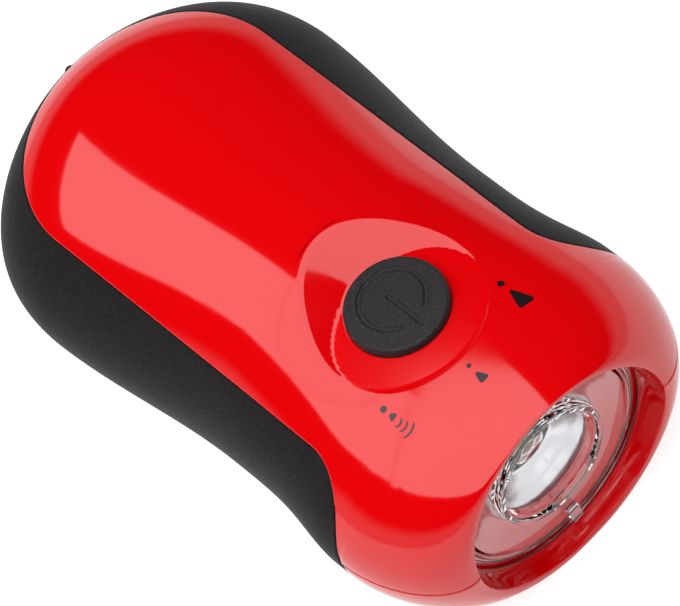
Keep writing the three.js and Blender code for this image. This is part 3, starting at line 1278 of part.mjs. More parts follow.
// One stator cup, opening upward: base, outer wall and tapered claw poles
function statorCup() {
  const height = STATOR_DEPTH / 2 - FIT_GAP / 2;
  const cup = turned([
    [ROTOR_SHAFT_RADIUS + RUNNING_GAP, 0],
    [STATOR_RADIUS, 0],
    [STATOR_RADIUS, height],
    [STATOR_RADIUS - STATOR_WALL, height],
    [STATOR_RADIUS - STATOR_WALL, STATOR_WALL],
    [ROTOR_SHAFT_RADIUS + RUNNING_GAP, STATOR_WALL],
    [ROTOR_SHAFT_RADIUS + RUNNING_GAP, 0],
  ]);
  const claws = [];
  const tip = STATOR_DEPTH - STATOR_WALL - CLAW_TIP_GAP;
  for (let i = 0; i < CLAWS; i += 1) {
    const claw = geometryOf(loft([clawRing(CLAW_ROOT_DEG, STATOR_WALL / 2), clawRing(CLAW_TIP_DEG, tip)]));
    claws.push(solid(claw.rotateZ((2 * Math.PI * i) / CLAWS)));
  }
  return join(cup, ...claws);
}

const BOBBIN_RADIUS = STATOR_RADIUS - STATOR_WALL - FIT_GAP;
const BOBBIN_BORE = CLAW_RADIUS + STATOR_WALL + FIT_GAP;

function coilBobbin() {
  const low = STATOR_LOW + STATOR_WALL + FIT_GAP;
  const high = STATOR_TOP - STATOR_WALL - FIT_GAP;
  const core = BOBBIN_BORE + BOBBIN_WALL;
  return turned([
    [BOBBIN_BORE, low],
    [BOBBIN_RADIUS, low],
    [BOBBIN_RADIUS, low + BOBBIN_WALL],
    [core, low + BOBBIN_WALL],
    [core, high - BOBBIN_WALL],
    [BOBBIN_RADIUS, high - BOBBIN_WALL],
    [BOBBIN_RADIUS, high],
    [BOBBIN_BORE, high],
    [BOBBIN_BORE, low],
  ]);
}

function coilWinding() {
  const inset = STATOR_WALL + FIT_GAP + BOBBIN_WALL + FIT_GAP;
  const inner = BOBBIN_BORE + BOBBIN_WALL + FIT_GAP;
  return tube(inner, WINDING_RADIUS, STATOR_LOW + inset, STATOR_TOP - inset);
}

function magnetRotor() {
  const inset = STATOR_WALL + 2 * FIT_GAP;
  const radius = CLAW_RADIUS - 2 * FIT_GAP;
  return tube(ROTOR_SHAFT_RADIUS + RUNNING_GAP, radius, STATOR_LOW + inset, STATOR_TOP - inset,
    0, 0, SMALL_ROUND_SIDES);
}

const rotorShaft = () => drum(ROTOR_SHAFT_RADIUS, STATOR_LOW + RUNNING_GAP, BRIDGE_TOP, 0, 0, PIN_SIDES);

// Materials

const finish = (color, roughness, metalness = 0) => ({ color, roughness, metalness });
const finishes = {
  redGloss: finish(0xec0408, 0.16),
  softBlack: finish(0x242222, 0.75),
  rubber: finish(0x2b2b2d, 0.6),
  clear: { ...finish(0xf2f4f5, 0.05), transparent: true, opacity: 0.4 },
  chrome: finish(0xd8d9da, 0.12, 1),
  steel: finish(0x9a9c9e, 0.3, 1),
  brass: finish(0xb08d45, 0.35, 1),
  nylon: finish(0xe8e4d8, 0.5),
  blackPlastic: finish(0x1d1d1f, 0.45),
  board: finish(0x2a6b3a, 0.6),
  copper: finish(0xb5652c, 0.35, 1),
  magnet: finish(0x3b3c40, 0.5, 0.6),
  epoxy: { ...finish(0xf4f2dc, 0.1), transparent: true, opacity: 0.8 },
  sleeve: finish(0x2f6fb0, 0.4),
  redWire: finish(0xb8141a, 0.5),
};

function piece(name, form, look, x = 0, y = 0, z = 0) {
  const mesh = new THREE.Mesh(geometryOf(form), new THREE.MeshStandardMaterial(finishes[look]));
  mesh.name = name;
  mesh.position.set(x, y, z);
  return mesh;
}

function group(...children) {
  const holder = new THREE.Group();
  holder.add(...children);
  return holder;
}

// Sub-assemblies

function housing() {
  return group(
    piece('top_shell', topShell(), 'redGloss'),
    piece('bottom_shell', bottomShell(), 'redGloss'),
    piece('grip_band', gripBand(), 'softBlack'),
    piece('lanyard_pin', lanyardPin(), 'blackPlastic'),
  );
}

function lampUnit() {
  return group(
    piece('lens', lens(), 'clear'),
    piece('reflector', reflector(), 'chrome'),
    piece('led', led(), 'epoxy'),
    piece('led_board', ledBoard(), 'board'),
  );
}

function buttonUnit() {
  const unit = group(
    piece('power_button', powerButton(), 'rubber'),
    piece('switch_body', switchBody(), 'blackPlastic'),
    piece('switch_plunger', switchPlunger(), 'nylon'),
  );
  unit.position.y = -BUTTON_Y;
  return unit;
}

function electrics() {
  const battery = piece('battery_pack', batteryPack(), 'sleeve', 0, -BATTERY_Y, BATTERY_Z);
  battery.rotation.y = Math.PI / 2;
  const leads = wires().map(([name, form]) => piece(name, form, name.endsWith('red') ? 'redWire' : 'blackPlastic'));
  return group(piece('circuit_board', circuitBoard(), 'board'), battery, ...leads);
}

function crankUnit() {
  const knob = group(piece('crank_knob', crankKnob(), 'blackPlastic'), piece('knob_pin', knobPin(), 'steel'));
  knob.position.y = KNOB_Y;
  const unit = group(
    piece('crank_disc', crankDisc(), 'blackPlastic'),
    piece('crank_arm', crankArm(), 'blackPlastic'),
    piece('hinge_pin', hingePin(), 'steel'),
    knob,
    piece('crank_shaft', crankShaft(), 'steel'),
    piece('crank_screw', crankScrew(), 'steel'),
    piece('shaft_bush', shaftBush(), 'brass'),
    piece('drive_gear', driveGear(), 'nylon'),
    piece('shaft_clip', shaftClip(), 'steel'),
  );
  unit.position.y = CRANK_Y;
  return unit;
}

function gearUnit() {
  return group(
    piece('gear_plate', gearPlate(), 'blackPlastic'),
    piece('gear_bridge', gearBridge(), 'blackPlastic'),
    piece('idler_gear_1', idlerGear1(), 'nylon', idler1Place.x, idler1Place.y),
    piece('idler_pin_1', idlerPin(), 'steel', idler1Place.x, idler1Place.y),
    piece('idler_gear_2', idlerGear2(), 'nylon', idler2Place.x, idler2Place.y),
    piece('idler_pin_2', idlerPin(), 'steel', idler2Place.x, idler2Place.y),
  );
}

function generatorUnit() {
  const lower = piece('stator_lower', statorCup(), 'steel', 0, 0, STATOR_LOW);
  const upper = piece('stator_upper', statorCup(), 'steel', 0, 0, STATOR_TOP);
  upper.rotation.set(Math.PI, 0, Math.PI / CLAWS);
  const unit = group(
    lower,
    upper,
    piece('coil_bobbin', coilBobbin(), 'blackPlastic'),
    piece('coil_winding', coilWinding(), 'copper'),
    piece('magnet_rotor', magnetRotor(), 'magnet'),
    piece('rotor_shaft', rotorShaft(), 'steel'),
    piece('rotor_pinion', rotorPinion(), 'brass'),
  );
  unit.position.y = -GENERATOR_Y;
  return unit;
}

// Each screw is its own piece, set on its seat and turned so that its shank points into the boss
function screwSet() {
  const screws = [];
  const shellLength = SHELL_SCREW_TIP_Z - SHELL_SCREW_SEAT_Z + FIT_GAP;
  const shellForm = screw(SHELL_SCREW_RADIUS, shellLength, SHELL_SCREW_HEAD_RADIUS, SHELL_SCREW_HEAD);
  shellScrewPlaces.forEach(([x, y], i) => {
    const mesh = piece(`shell_screw_${i + 1}`, shellForm, 'steel', x, y, SHELL_SCREW_TIP_Z);
    mesh.rotation.x = Math.PI;
    screws.push(mesh);
  });
  const plateLow = PLATE_Z + PLATE_THICKNESS + FIT_GAP - SMALL_SCREW_LENGTH;
  plateScrewPlaces.forEach(([x, y], i) => {
    screws.push(piece(`plate_screw_${i + 1}`, smallScrew(SMALL_SCREW_LENGTH), 'steel', x, y, plateLow));
  });
  const bridgeLow = BRIDGE_TOP + FIT_GAP - SMALL_SCREW_LENGTH;
  pillarPlaces.forEach(([x, y], i) => {
    screws.push(piece(`bridge_screw_${i + 1}`, smallScrew(SMALL_SCREW_LENGTH), 'steel', x, y, bridgeLow));
  });
  const boardLength = SMALL_SCREW_LENGTH - FIT_GAP;
  boardPostPlaces.slice(0, 2).forEach(([x, y], i) => {
    const high = CIRCUIT_Z - FIT_GAP + boardLength;
    const mesh = piece(`board_screw_${i + 1}`, smallScrew(boardLength), 'steel', x, y, high);
    mesh.rotation.x = Math.PI;
    screws.push(mesh);
  });
  return group(...screws);
}

const flashlight = group(
  housing(),
  lampUnit(),
  buttonUnit(),
  electrics(),
  crankUnit(),
  gearUnit(),
  generatorUnit(),
  screwSet(),
);
flashlight.name = 'hand_crank_flashlight';

// Set the torch down on its underside, with its middle over the origin
const extent = new THREE.Box3().setFromObject(flashlight, true);
const middle = extent.getCenter(new THREE.Vector3());
flashlight.position.set(-middle.x, -middle.y, -extent.min.z);

export default flashlight;
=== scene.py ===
"""Hand crank flashlight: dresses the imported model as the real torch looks.

Lengths in the classes are millimetres in the torch's own frame.  The lens looks along -Y, Z is
up, and heights count from the parting plane between the two red shells.
"""

import json
import logging
import math
from dataclasses import dataclass, field
from enum import Enum
from typing import Callable, Optional, Sequence

import bmesh
import bpy
import numpy as np
from bpy.types import Material, Mesh, Node, NodeSocket, NodeTree, Object
from mathutils import Matrix, Vector


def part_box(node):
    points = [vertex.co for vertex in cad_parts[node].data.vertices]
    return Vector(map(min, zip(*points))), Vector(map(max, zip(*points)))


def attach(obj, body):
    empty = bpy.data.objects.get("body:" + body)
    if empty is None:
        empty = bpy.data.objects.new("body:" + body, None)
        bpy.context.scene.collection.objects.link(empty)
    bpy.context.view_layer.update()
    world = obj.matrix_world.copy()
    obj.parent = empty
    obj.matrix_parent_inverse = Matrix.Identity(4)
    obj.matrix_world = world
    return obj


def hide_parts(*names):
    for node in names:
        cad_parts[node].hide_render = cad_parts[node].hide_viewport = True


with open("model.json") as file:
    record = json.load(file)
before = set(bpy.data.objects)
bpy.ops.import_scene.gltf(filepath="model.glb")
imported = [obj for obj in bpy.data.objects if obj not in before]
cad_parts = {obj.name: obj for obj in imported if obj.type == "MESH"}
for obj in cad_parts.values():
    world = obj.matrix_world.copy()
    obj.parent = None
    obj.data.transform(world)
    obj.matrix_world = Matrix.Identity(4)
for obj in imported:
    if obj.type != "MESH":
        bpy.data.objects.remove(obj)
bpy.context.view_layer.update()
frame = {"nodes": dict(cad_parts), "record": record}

LOG = logging.getLogger("flashlight")
MM = 0.001
HALVINGS = 60
Array = np.ndarray
Place = tuple[float, float]
Outline = Sequence[Place]

# Places and sizes that several pieces share
NOSE_TIP = -51.0
UNDERSIDE = -19.5
DISH_Y = -22.7
CRANK_Y = 20.0
BAND_HALF = 21.5
ROW_STEP = 0.4025
SHELL_SCREWS = ((-20.0, -34.0), (20.0, -34.0), (-10.5, 41.8), (10.5, 41.8))


class Side(Enum):
    """The two halves of the body, as the sign of their height."""

    TOP = 1.0
    BOTTOM = -1.0


# Finishes


def linear(hex_colour: str) -> tuple[float, float, float, float]:
    """Turns an sRGB hex colour into linear values.

    Args:
        hex_colour: Six hex digits, with or without a leading hash.

    Returns:
        Linear red, green, blue and an alpha of one.
    """
    digits = hex_colour.lstrip("#")
    parts = [int(digits[i:i + 2], 16) / 255 for i in (0, 2, 4)]
    curve = [p / 12.92 if p <= 0.04045 else ((p + 0.055) / 1.055) ** 2.4 for p in parts]
    return (curve[0], curve[1], curve[2], 1.0)


def add_node(tree: NodeTree, kind: str, settings: Optional[dict] = None,
             links: Optional[dict] = None) -> Node:
    """Adds one node with its settings and links.

    Args:
        tree: The node tree that gets it.
        kind: The node's type name after "ShaderNode".
        settings: Values by attribute name, input name or input number.
        links: Output sockets by input name or number.

    Returns:
        The new node.
    """
    node = tree.nodes.new("ShaderNode" + kind)
    settings = settings or {}
    for key, value in settings.items():
        if isinstance(key, str) and hasattr(node, key):
            setattr(node, key, value)
    for key, value in settings.items():
        if isinstance(key, int) or not hasattr(node, key):
            node.inputs[key].default_value = value
    for key, socket in (links or {}).items():
        tree.links.new(socket, node.inputs[key])
    return node


def per_metre(size_mm: float) -> float:
    """Gives the texture scale that repeats once in a length."""
    return 1.0 / (size_mm * MM)


def mixed(tree: NodeTree, share: NodeSocket, first: NodeSocket | tuple,
          second: tuple) -> NodeSocket:
    """Mixes two colours.

    Args:
        tree: The node tree that gets the mix.
        share: The socket that gives the second colour's share.
        first: The first colour, or the socket that gives it.
        second: The second colour.

    Returns:
        The socket that gives the mixed colour.
    """
    mix = add_node(tree, "Mix", {"data_type": "RGBA"}, {0: share})
    inputs = {socket.identifier: socket for socket in mix.inputs}
    if isinstance(first, tuple):
        inputs["A_Color"].default_value = first
    else:
        tree.links.new(first, inputs["A_Color"])
    inputs["B_Color"].default_value = second
    return next(s for s in mix.outputs if s.identifier == "Result_Color")


@dataclass(frozen=True)
class Finish:
    """A moulded or made surface: tone that drifts, grain in the surface, uneven gloss.

    The colour wanders by ``tone_spread`` over about ``tone_mm``.  The surface is raised by
    ``grain_height_mm`` over ``grain_mm``, and its roughness wanders by ``rough_spread``.
    """

    name: str
    colour: str
    roughness: float
    ior: float = 1.5
    metallic: float = 0.0
    tone_spread: float = 0.04
    tone_mm: float = 14.0
    grain_mm: float = 0.4
    grain_height_mm: float = 0.01
    rough_spread: float = 0.05

    def make(self) -> Material:
        """Builds the material.

        Returns:
            A node material named for the finish.
        """
        material = bpy.data.materials.new(self.name)
        material.use_nodes = True
        tree = material.node_tree
        tree.nodes.clear()
        place = add_node(tree, "TexCoord").outputs["Object"]
        shader = add_node(tree, "BsdfPrincipled", {
            "Metallic": self.metallic, "Roughness": self.roughness})
        if not self.metallic:
            shader.inputs["IOR"].default_value = self.ior
        tree.links.new(self.tone(tree, place), shader.inputs["Base Color"])
        bump = add_node(tree, "Bump", {"Strength": 1.0, "Distance": self.grain_height_mm * MM},
                        {"Height": self.relief(tree, place)})
        tree.links.new(bump.outputs["Normal"], shader.inputs["Normal"])
        if self.rough_spread:
            tree.links.new(self.gloss(tree, place), shader.inputs["Roughness"])
        self.extras(shader)
        output = add_node(tree, "OutputMaterial", {}, {"Surface": shader.outputs["BSDF"]})
        output.is_active_output = True
        material.diffuse_color = linear(self.colour)
        return material

    def tone(self, tree: NodeTree, place: NodeSocket) -> NodeSocket:
        """Gives the colour, which drifts a little darker and lighter."""
        noise = add_node(tree, "TexNoise", {"Scale": per_metre(self.tone_mm), "Detail": 3.0},
                         {"Vector": place})
        red_green_blue = linear(self.colour)[:3]
        dark, light = ((*[min(1.0, c * share) for c in red_green_blue], 1.0)
                       for share in (1 - self.tone_spread, 1 + self.tone_spread))
        return mixed(tree, noise.outputs["Fac"], dark, light)

    def relief(self, tree: NodeTree, place: NodeSocket) -> NodeSocket:
        """Gives the height of the surface grain."""
        noise = add_node(tree, "TexNoise", {"Scale": per_metre(self.grain_mm), "Detail": 2.0},
                         {"Vector": place})
        return noise.outputs["Fac"]

    def gloss(self, tree: NodeTree, place: NodeSocket) -> NodeSocket:
        """Gives the roughness, which is uneven from handling."""
        noise = add_node(tree, "TexNoise", {"Scale": per_metre(self.tone_mm * 0.5), "Detail": 4.0},
                         {"Vector": place})
        spread = add_node(tree, "MapRange", {
            "From Min": 0.3, "From Max": 0.7,
            "To Min": max(0.0, self.roughness - self.rough_spread),
            "To Max": self.roughness + self.rough_spread}, {"Value": noise.outputs["Fac"]})
        return spread.outputs["Result"]

    def extras(self, shader: Node) -> None:
        """Adds what one finish has and the others don't."""


@dataclass(frozen=True)
class PolishedAbs(Finish):
    """ABS moulded in a polished tool: mirror-like, with a faint ripple and hairline scratches."""

    scratch_mm: float = 0.25
    scratch_stretch: tuple[float, float, float] = (1.0, 0.06, 1.0)
    scratch_turn: float = 0.6

    def gloss(self, tree: NodeTree, place: NodeSocket) -> NodeSocket:
        """Gives the roughness: smooth, with long faint hairlines that catch the light."""
        stretched = add_node(tree, "Mapping", {
            "Scale": self.scratch_stretch, "Rotation": (0.0, 0.0, self.scratch_turn)},
            {"Vector": place})
        hair = add_node(tree, "TexNoise", {"Scale": per_metre(self.scratch_mm), "Detail": 2.0},
                        {"Vector": stretched.outputs["Vector"]})
        spread = add_node(tree, "MapRange", {
            "From Min": 0.55, "From Max": 0.8, "To Min": self.roughness,
            "To Max": self.roughness + self.rough_spread}, {"Value": hair.outputs["Fac"]})
        return spread.outputs["Result"]


@dataclass(frozen=True)
class SoftTouch(Finish):
    """Rubbery lacquer or moulded rubber: matt, finely pebbled, with pale dust in the pebbling."""

    speck_colour: str = "5a5656"
    speck_mm: float = 0.22
    speck_share: float = 0.5
    sheen: float = 0.15
    specular: float = 0.5

    def tone(self, tree: NodeTree, place: NodeSocket) -> NodeSocket:
        """Gives the colour: the base tone with paler specks."""
        base = Finish.tone(self, tree, place)
        specks = add_node(tree, "TexNoise", {"Scale": per_metre(self.speck_mm), "Detail": 1.0},
                          {"Vector": place})
        where = add_node(tree, "MapRange", {
            "From Min": 0.5, "From Max": 0.72, "To Min": 0.0, "To Max": self.speck_share},
            {"Value": specks.outputs["Fac"]})
        return mixed(tree, where.outputs["Result"], base, linear(self.speck_colour))

    def extras(self, shader: Node) -> None:
        """Adds the soft sheen that lightens the limbs, and dulls the highlight."""
        shader.inputs["Specular IOR Level"].default_value = self.specular
        shader.inputs["Sheen Weight"].default_value = self.sheen
        shader.inputs["Sheen Roughness"].default_value = 0.4


@dataclass(frozen=True)
class ClearPlastic(Finish):
    """Clear moulded plastic: sharp refraction with the faintest flow lines."""

    def extras(self, shader: Node) -> None:
        """Lets the light through."""
        shader.inputs["Transmission Weight"].default_value = 1.0


@dataclass(frozen=True)
class TurnedMetal(Finish):
    """Metal with fine tool marks that run round the piece or along it."""

    mark_mm: float = 0.12
    stretch: tuple[float, float, float] = (1.0, 1.0, 0.04)

    def relief(self, tree: NodeTree, place: NodeSocket) -> NodeSocket:
        """Gives the height of the tool marks."""
        stretched = add_node(tree, "Mapping", {"Scale": self.stretch}, {"Vector": place})
        marks = add_node(tree, "TexNoise", {"Scale": per_metre(self.mark_mm), "Detail": 2.0},
                         {"Vector": stretched.outputs["Vector"]})
        return marks.outputs["Fac"]


@dataclass(frozen=True)
class WoundWire(Finish):
    """Enamelled wire wound in close layers: a band for each turn."""

    wire_mm: float = 0.3

    def relief(self, tree: NodeTree, place: NodeSocket) -> NodeSocket:
        """Gives a rounded ridge for each turn of the wire."""
        turns = add_node(tree, "TexWave", {
            "wave_type": "BANDS", "bands_direction": "Z", "Scale": per_metre(self.wire_mm) / 20,
            "Distortion": 0.4}, {"Vector": place})
        return turns.outputs["Fac"]


@dataclass(frozen=True)
class SolderMask(Finish):
    """Green lacquer over copper tracks, which show as paler raised paths."""

    track_mm: float = 1.6
    track_colour: str = "3f8f52"

    def tone(self, tree: NodeTree, place: NodeSocket) -> NodeSocket:
        """Gives the lacquer's green, paler over the tracks."""
        base = Finish.tone(self, tree, place)
        return mixed(tree, self.tracks(tree, place), base, linear(self.track_colour))

    def tracks(self, tree: NodeTree, place: NodeSocket) -> NodeSocket:
        """Gives one over the tracks and nothing between them."""
        cells = add_node(tree, "TexVoronoi", {
            "feature": "DISTANCE_TO_EDGE", "distance": "EUCLIDEAN",
            "Scale": per_metre(self.track_mm)}, {"Vector": place})
        edge = add_node(tree, "MapRange", {"From Min": 0.08, "From Max": 0.12, "To Min": 1.0,
                                           "To Max": 0.0}, {"Value": cells.outputs["Distance"]})
        return edge.outputs["Result"]

    def relief(self, tree: NodeTree, place: NodeSocket) -> NodeSocket:
        """Raises the tracks."""
        return self.tracks(tree, place)


# ABS from a polished tool: deep red, wet-looking, reflections with crisp edges
RED_SHELL = PolishedAbs("polished_red_abs", "e40006", 0.07, 1.58, tone_spread=0.03, tone_mm=40.0,
                        grain_mm=2.2, grain_height_mm=0.0012, rough_spread=0.05)
# Soft-touch lacquer over ABS: near black, no highlight, fine pale speckle, lighter limbs
GRIP = SoftTouch("soft_touch_black_lacquer", "1a1718", 0.6, 1.45, tone_spread=0.12, tone_mm=1.2,
                 grain_mm=0.3, grain_height_mm=0.03, speck_colour="4a4544", speck_share=0.3,
                 sheen=0.03, specular=0.12)
# Silicone rubber, sandblasted tool: dark grey, evenly speckled
BUTTON_RUBBER = SoftTouch("sandblasted_silicone_rubber", "252224", 0.5, 1.42, tone_spread=0.1,
                          tone_mm=0.9, grain_mm=0.3, grain_height_mm=0.03, speck_colour="565255",
                          speck_share=0.4, sheen=0.02, specular=0.3)
# Acrylic, injection moulded and clear: bright edges, sharp highlights
LENS_ACRYLIC = ClearPlastic("moulded_clear_acrylic", "fbfcfd", 0.02, 1.49, tone_spread=0.0,
                            grain_mm=3.0, grain_height_mm=0.002, rough_spread=0.015)
# Aluminium vapour on ABS under lacquer: a bright mirror with a slight orange peel
REFLECTOR_METAL = TurnedMetal("vapour_metallised_abs", "ecebed", 0.22, metallic=1.0,
                              tone_spread=0.02, grain_height_mm=0.002, rough_spread=0.03,
                              mark_mm=1.5, stretch=(1.0, 1.0, 1.0))
# Cast epoxy with a warm cast from the phosphor under it
LED_EPOXY = ClearPlastic("cast_led_epoxy", "fff6d8", 0.04, 1.54, tone_spread=0.02, tone_mm=2.0,
                         grain_mm=1.0, grain_height_mm=0.002, rough_spread=0.02)
# Ceramic LED body: flat white
LED_CERAMIC = Finish("pressed_white_ceramic", "f2f2ee", 0.45, 1.6, tone_spread=0.02, tone_mm=2.0,
                     grain_mm=0.2, grain_height_mm=0.004)
# Screen-printed ink: near black with a slight red cast where the shell shows through
PRINTED_INK = Finish("screen_printed_ink", "23171a", 0.16, 1.5, tone_spread=0.1, tone_mm=0.6,
                     grain_mm=0.2, grain_height_mm=0.002, rough_spread=0.04)
# Moulded black ABS with a spark-eroded grain: satin, evenly pitted
BLACK_ABS = Finish("eroded_black_abs", "1b1b1d", 0.42, 1.54, tone_spread=0.1, tone_mm=6.0,
                   grain_mm=0.28, grain_height_mm=0.02, rough_spread=0.08)
# Unfilled nylon: milky, faintly waxy
NYLON = Finish("natural_nylon", "e6e1d3", 0.4, 1.53, tone_spread=0.03, tone_mm=5.0,
               grain_mm=0.5, grain_height_mm=0.006, rough_spread=0.06)
# Zinc-plated steel: cool grey with fine draw marks
STEEL = TurnedMetal("zinc_plated_steel", "b6b8ba", 0.3, metallic=1.0, tone_spread=0.06,
                    tone_mm=3.0, grain_height_mm=0.004, rough_spread=0.08)
# Tinned sheet steel, pressed: duller than the screws
STATOR_STEEL = TurnedMetal("tinned_pressed_steel", "a5a7a8", 0.38, metallic=1.0, tone_spread=0.08,
                           tone_mm=4.0, grain_height_mm=0.006, rough_spread=0.1,
                           stretch=(1.0, 0.1, 1.0))
# Free-cutting brass, turned: warm yellow with rings from the tool
BRASS = TurnedMetal("turned_brass", "c9a55a", 0.25, metallic=1.0, tone_spread=0.08, tone_mm=3.0,
                    grain_height_mm=0.005, rough_spread=0.08)
# Enamelled copper wire: orange-brown with a ridge for each turn
COPPER = WoundWire("enamelled_copper_wire", "b3622d", 0.3, metallic=1.0, tone_spread=0.1,
                   tone_mm=1.5, grain_height_mm=0.06, rough_spread=0.05)
# Plastic-bonded ferrite: dark grey, dry, slightly granular
MAGNET = Finish("bonded_ferrite", "34353a", 0.55, 1.6, tone_spread=0.15, tone_mm=0.8,
                grain_mm=0.15, grain_height_mm=0.02)
# PVC shrink sleeve over the cells: smooth with soft wrinkles
SLEEVE = Finish("pvc_shrink_sleeve", "2c6bab", 0.28, 1.53, tone_spread=0.05, tone_mm=8.0,
                grain_mm=3.0, grain_height_mm=0.06, rough_spread=0.08)
# PVC wire insulation
RED_WIRE = Finish("red_pvc_insulation", "b3161c", 0.4, 1.53, grain_mm=0.6, grain_height_mm=0.01)
BLACK_WIRE = Finish("black_pvc_insulation", "1c1c1d", 0.4, 1.53, grain_mm=0.6, grain_height_mm=0.01)
# Epoxy board under green solder mask
BOARD = SolderMask("green_solder_mask", "1d5a2e", 0.35, 1.5, tone_spread=0.08, tone_mm=5.0,
                   grain_height_mm=0.04, rough_spread=0.06)

SLOT_FINISHES: dict[str, Finish] = {
    "red_shell": RED_SHELL, "grip": GRIP, "button_rubber": BUTTON_RUBBER, "lens": LENS_ACRYLIC,
    "reflector": REFLECTOR_METAL, "led_epoxy": LED_EPOXY, "board": BOARD,
    "black_plastic": BLACK_ABS, "nylon": NYLON, "steel": STEEL, "stator_steel": STATOR_STEEL,
    "brass": BRASS, "copper": COPPER, "magnet": MAGNET, "battery_sleeve": SLEEVE,
    "wire_red": RED_WIRE, "wire_black": BLACK_WIRE,
}


class Paints:
    """Makes each finish once and hands out the same material after that."""

    def __init__(self) -> None:
        """Starts with no materials made."""
        self.made: dict[str, Material] = {}

    def get(self, finish: Finish) -> Material:
        """Gives the material of a finish."""
        if finish.name not in self.made:
            self.made[finish.name] = finish.make()
        return self.made[finish.name]


PAINTS = Paints()


# Meshes


def unit(vectors: Array) -> Array:
    """Scales vectors to length one."""
    return vectors / np.maximum(np.linalg.norm(vectors, axis=-1, keepdims=True), 1e-12)


def cell_normals(points: Array, closed: bool = False) -> Array:
    """Works out the normals of a grid from the points beside each point.

    Args:
        points: Rows by columns by three.
        closed: Whether the last column joins the first.

    Returns:
        Normals of the same shape, longer where the cells are larger.
    """
    if closed:
        padded = np.concatenate([points[:, -2:], points, points[:, :2]], axis=1)
        return cell_normals(padded)[:, 2:-2]
    return np.cross(np.gradient(points, axis=0), np.gradient(points, axis=1))


def seat() -> Array:
    """Gives the shift from the torch's own frame to the row frame, in millimetres."""
    shell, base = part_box("top_shell"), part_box("bottom_shell")
    return np.array([0.0, shell[0][1] / MM - NOSE_TIP, base[0][2] / MM - UNDERSIDE])


SEAT = seat()


@dataclass
class Skin:
    """Gathers the patches of one piece and turns them into an object.

    Patches keep their own normals, so that a fine reflection runs evenly over rows that crowd.
    """

    points: list[Array] = field(default_factory=list)
    normals: list[Array] = field(default_factory=list)
    faces: list[Array] = field(default_factory=list)
    count: int = 0

    def add(self, points: Array, normals: Optional[Array] = None, gone: Optional[Array] = None,
            outward: Optional[Array] = None, closed: bool = False) -> Array:
        """Adds a grid of points as a patch.

        Args:
            points: Rows by columns by three, in millimetres.
            normals: Unit normals, or None to work them out.
            gone: True for each face, by row and column, that is left out.
            outward: Directions, one or one for each point, that lead out of the piece.
            closed: Whether the last column joins the first.

        Returns:
            The normals that the patch got.
        """
        if normals is None:
            normals = unit(cell_normals(points, closed))
        if outward is not None and np.sum(normals * outward) < 0:
            normals = -normals
        rows, cols = points.shape[:2]
        ids = np.arange(rows * cols).reshape(rows, cols) + self.count
        if closed:
            ids = np.concatenate([ids, ids[:, :1]], axis=1)
        quads = np.stack([ids[:-1, :-1], ids[1:, :-1], ids[1:, 1:], ids[:-1, 1:]], axis=-1)
        if gone is not None:
            quads = quads[~gone]
        quads = quads.reshape(-1, 4)
        flat, flat_normals = points.reshape(-1, 3), normals.reshape(-1, 3)
        local = quads - self.count
        one, two, three, four = (flat[local[:, corner]] for corner in range(4))
        made = np.cross(three - one, four - two)
        wrong = np.sum(made * flat_normals[local].sum(axis=1)) < 0
        self.faces.append(quads[:, ::-1] if wrong else quads)
        self.points.append(flat)
        self.normals.append(flat_normals)
        self.count += rows * cols
        return normals

    def build(self, name: str, finish: Finish, body: str, slot: str,
              replaces: Sequence[str] = ()) -> Object:
        """Makes the object and puts it on its body.

        Args:
            name: The piece's name.
            finish: What it is made of.
            body: The body that it rides on.
            slot: The record's material slot; not used.
            replaces: The CAD nodes that it stands for.

        Returns:
            The new object.
        """
        points = (np.concatenate(self.points) + SEAT) * MM
        normals = np.concatenate(self.normals)
        mesh = bpy.data.meshes.new(name)
        mesh.from_pydata(points.tolist(), [], np.concatenate(self.faces).tolist())
        mesh.polygons.foreach_set("use_smooth", [True] * len(mesh.polygons))
        mesh.normals_split_custom_set_from_vertices(normals.tolist())
        return placed(mesh, name, finish, body, replaces)


def placed(mesh: Mesh, name: str, finish: Finish, body: str,
           replaces: Sequence[str] = ()) -> Object:
    """Links a mesh as a piece that rides on a body.

    Args:
        mesh: The mesh, in metres in the row frame.
        name: The piece's name.
        finish: What it is made of.
        body: The body that it rides on.
        replaces: The CAD nodes that it stands for.

    Returns:
        The new object.
    """
    piece = bpy.data.objects.new(name, mesh)
    bpy.context.scene.collection.objects.link(piece)
    mesh.materials.append(PAINTS.get(finish))
    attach(piece, body)
    if replaces:
        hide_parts(*replaces)
    LOG.info("piece %s on %s, %d faces", name, body, len(mesh.polygons))
    return piece


def edge_strip(loop: Array, normals: Array, away: Array, inward: Array, radius: float,
               depth: Array, steps: int = 4) -> tuple[Array, Array]:
    """Rolls a surface over its edge into a wall.

    Args:
        loop: The points of the edge in order.
        normals: The surface normals there.
        away: For each point a rough direction that leads off the surface.
        inward: For each point the direction of the wall.
        radius: Radius of the roll.
        depth: Depth of the wall, one value or one for each point.
        steps: Steps of the roll.

    Returns:
        Grid of points and grid of normals, one row for each point of the edge.
    """
    tangent = unit(np.gradient(loop, axis=0))
    off = unit(np.cross(tangent, normals))
    off *= np.where(np.sum(off * away, axis=-1, keepdims=True) < 0, -1.0, 1.0)
    turn = np.arccos(np.clip(np.sum(off * unit(inward), axis=-1), -1, 1))[:, None]
    points, made = [], []
    for i in range(steps + 1):
        angle = turn * i / steps
        points.append(loop + radius * (np.sin(angle) * off - (1 - np.cos(angle)) * normals))
        made.append(np.cos(angle) * normals + np.sin(angle) * off)
    deep = np.broadcast_to(np.asarray(depth, dtype=float), (len(loop),))[:, None]
    points.append(points[-1] + unit(inward) * deep)
    made.append(made[-1])
    return np.stack(points, axis=1), np.stack(made, axis=1)


def smooth(share: Array) -> Array:
    """Eases a share from nought to one."""
    share = np.clip(share, 0.0, 1.0)
    return share * share * (3 - 2 * share)


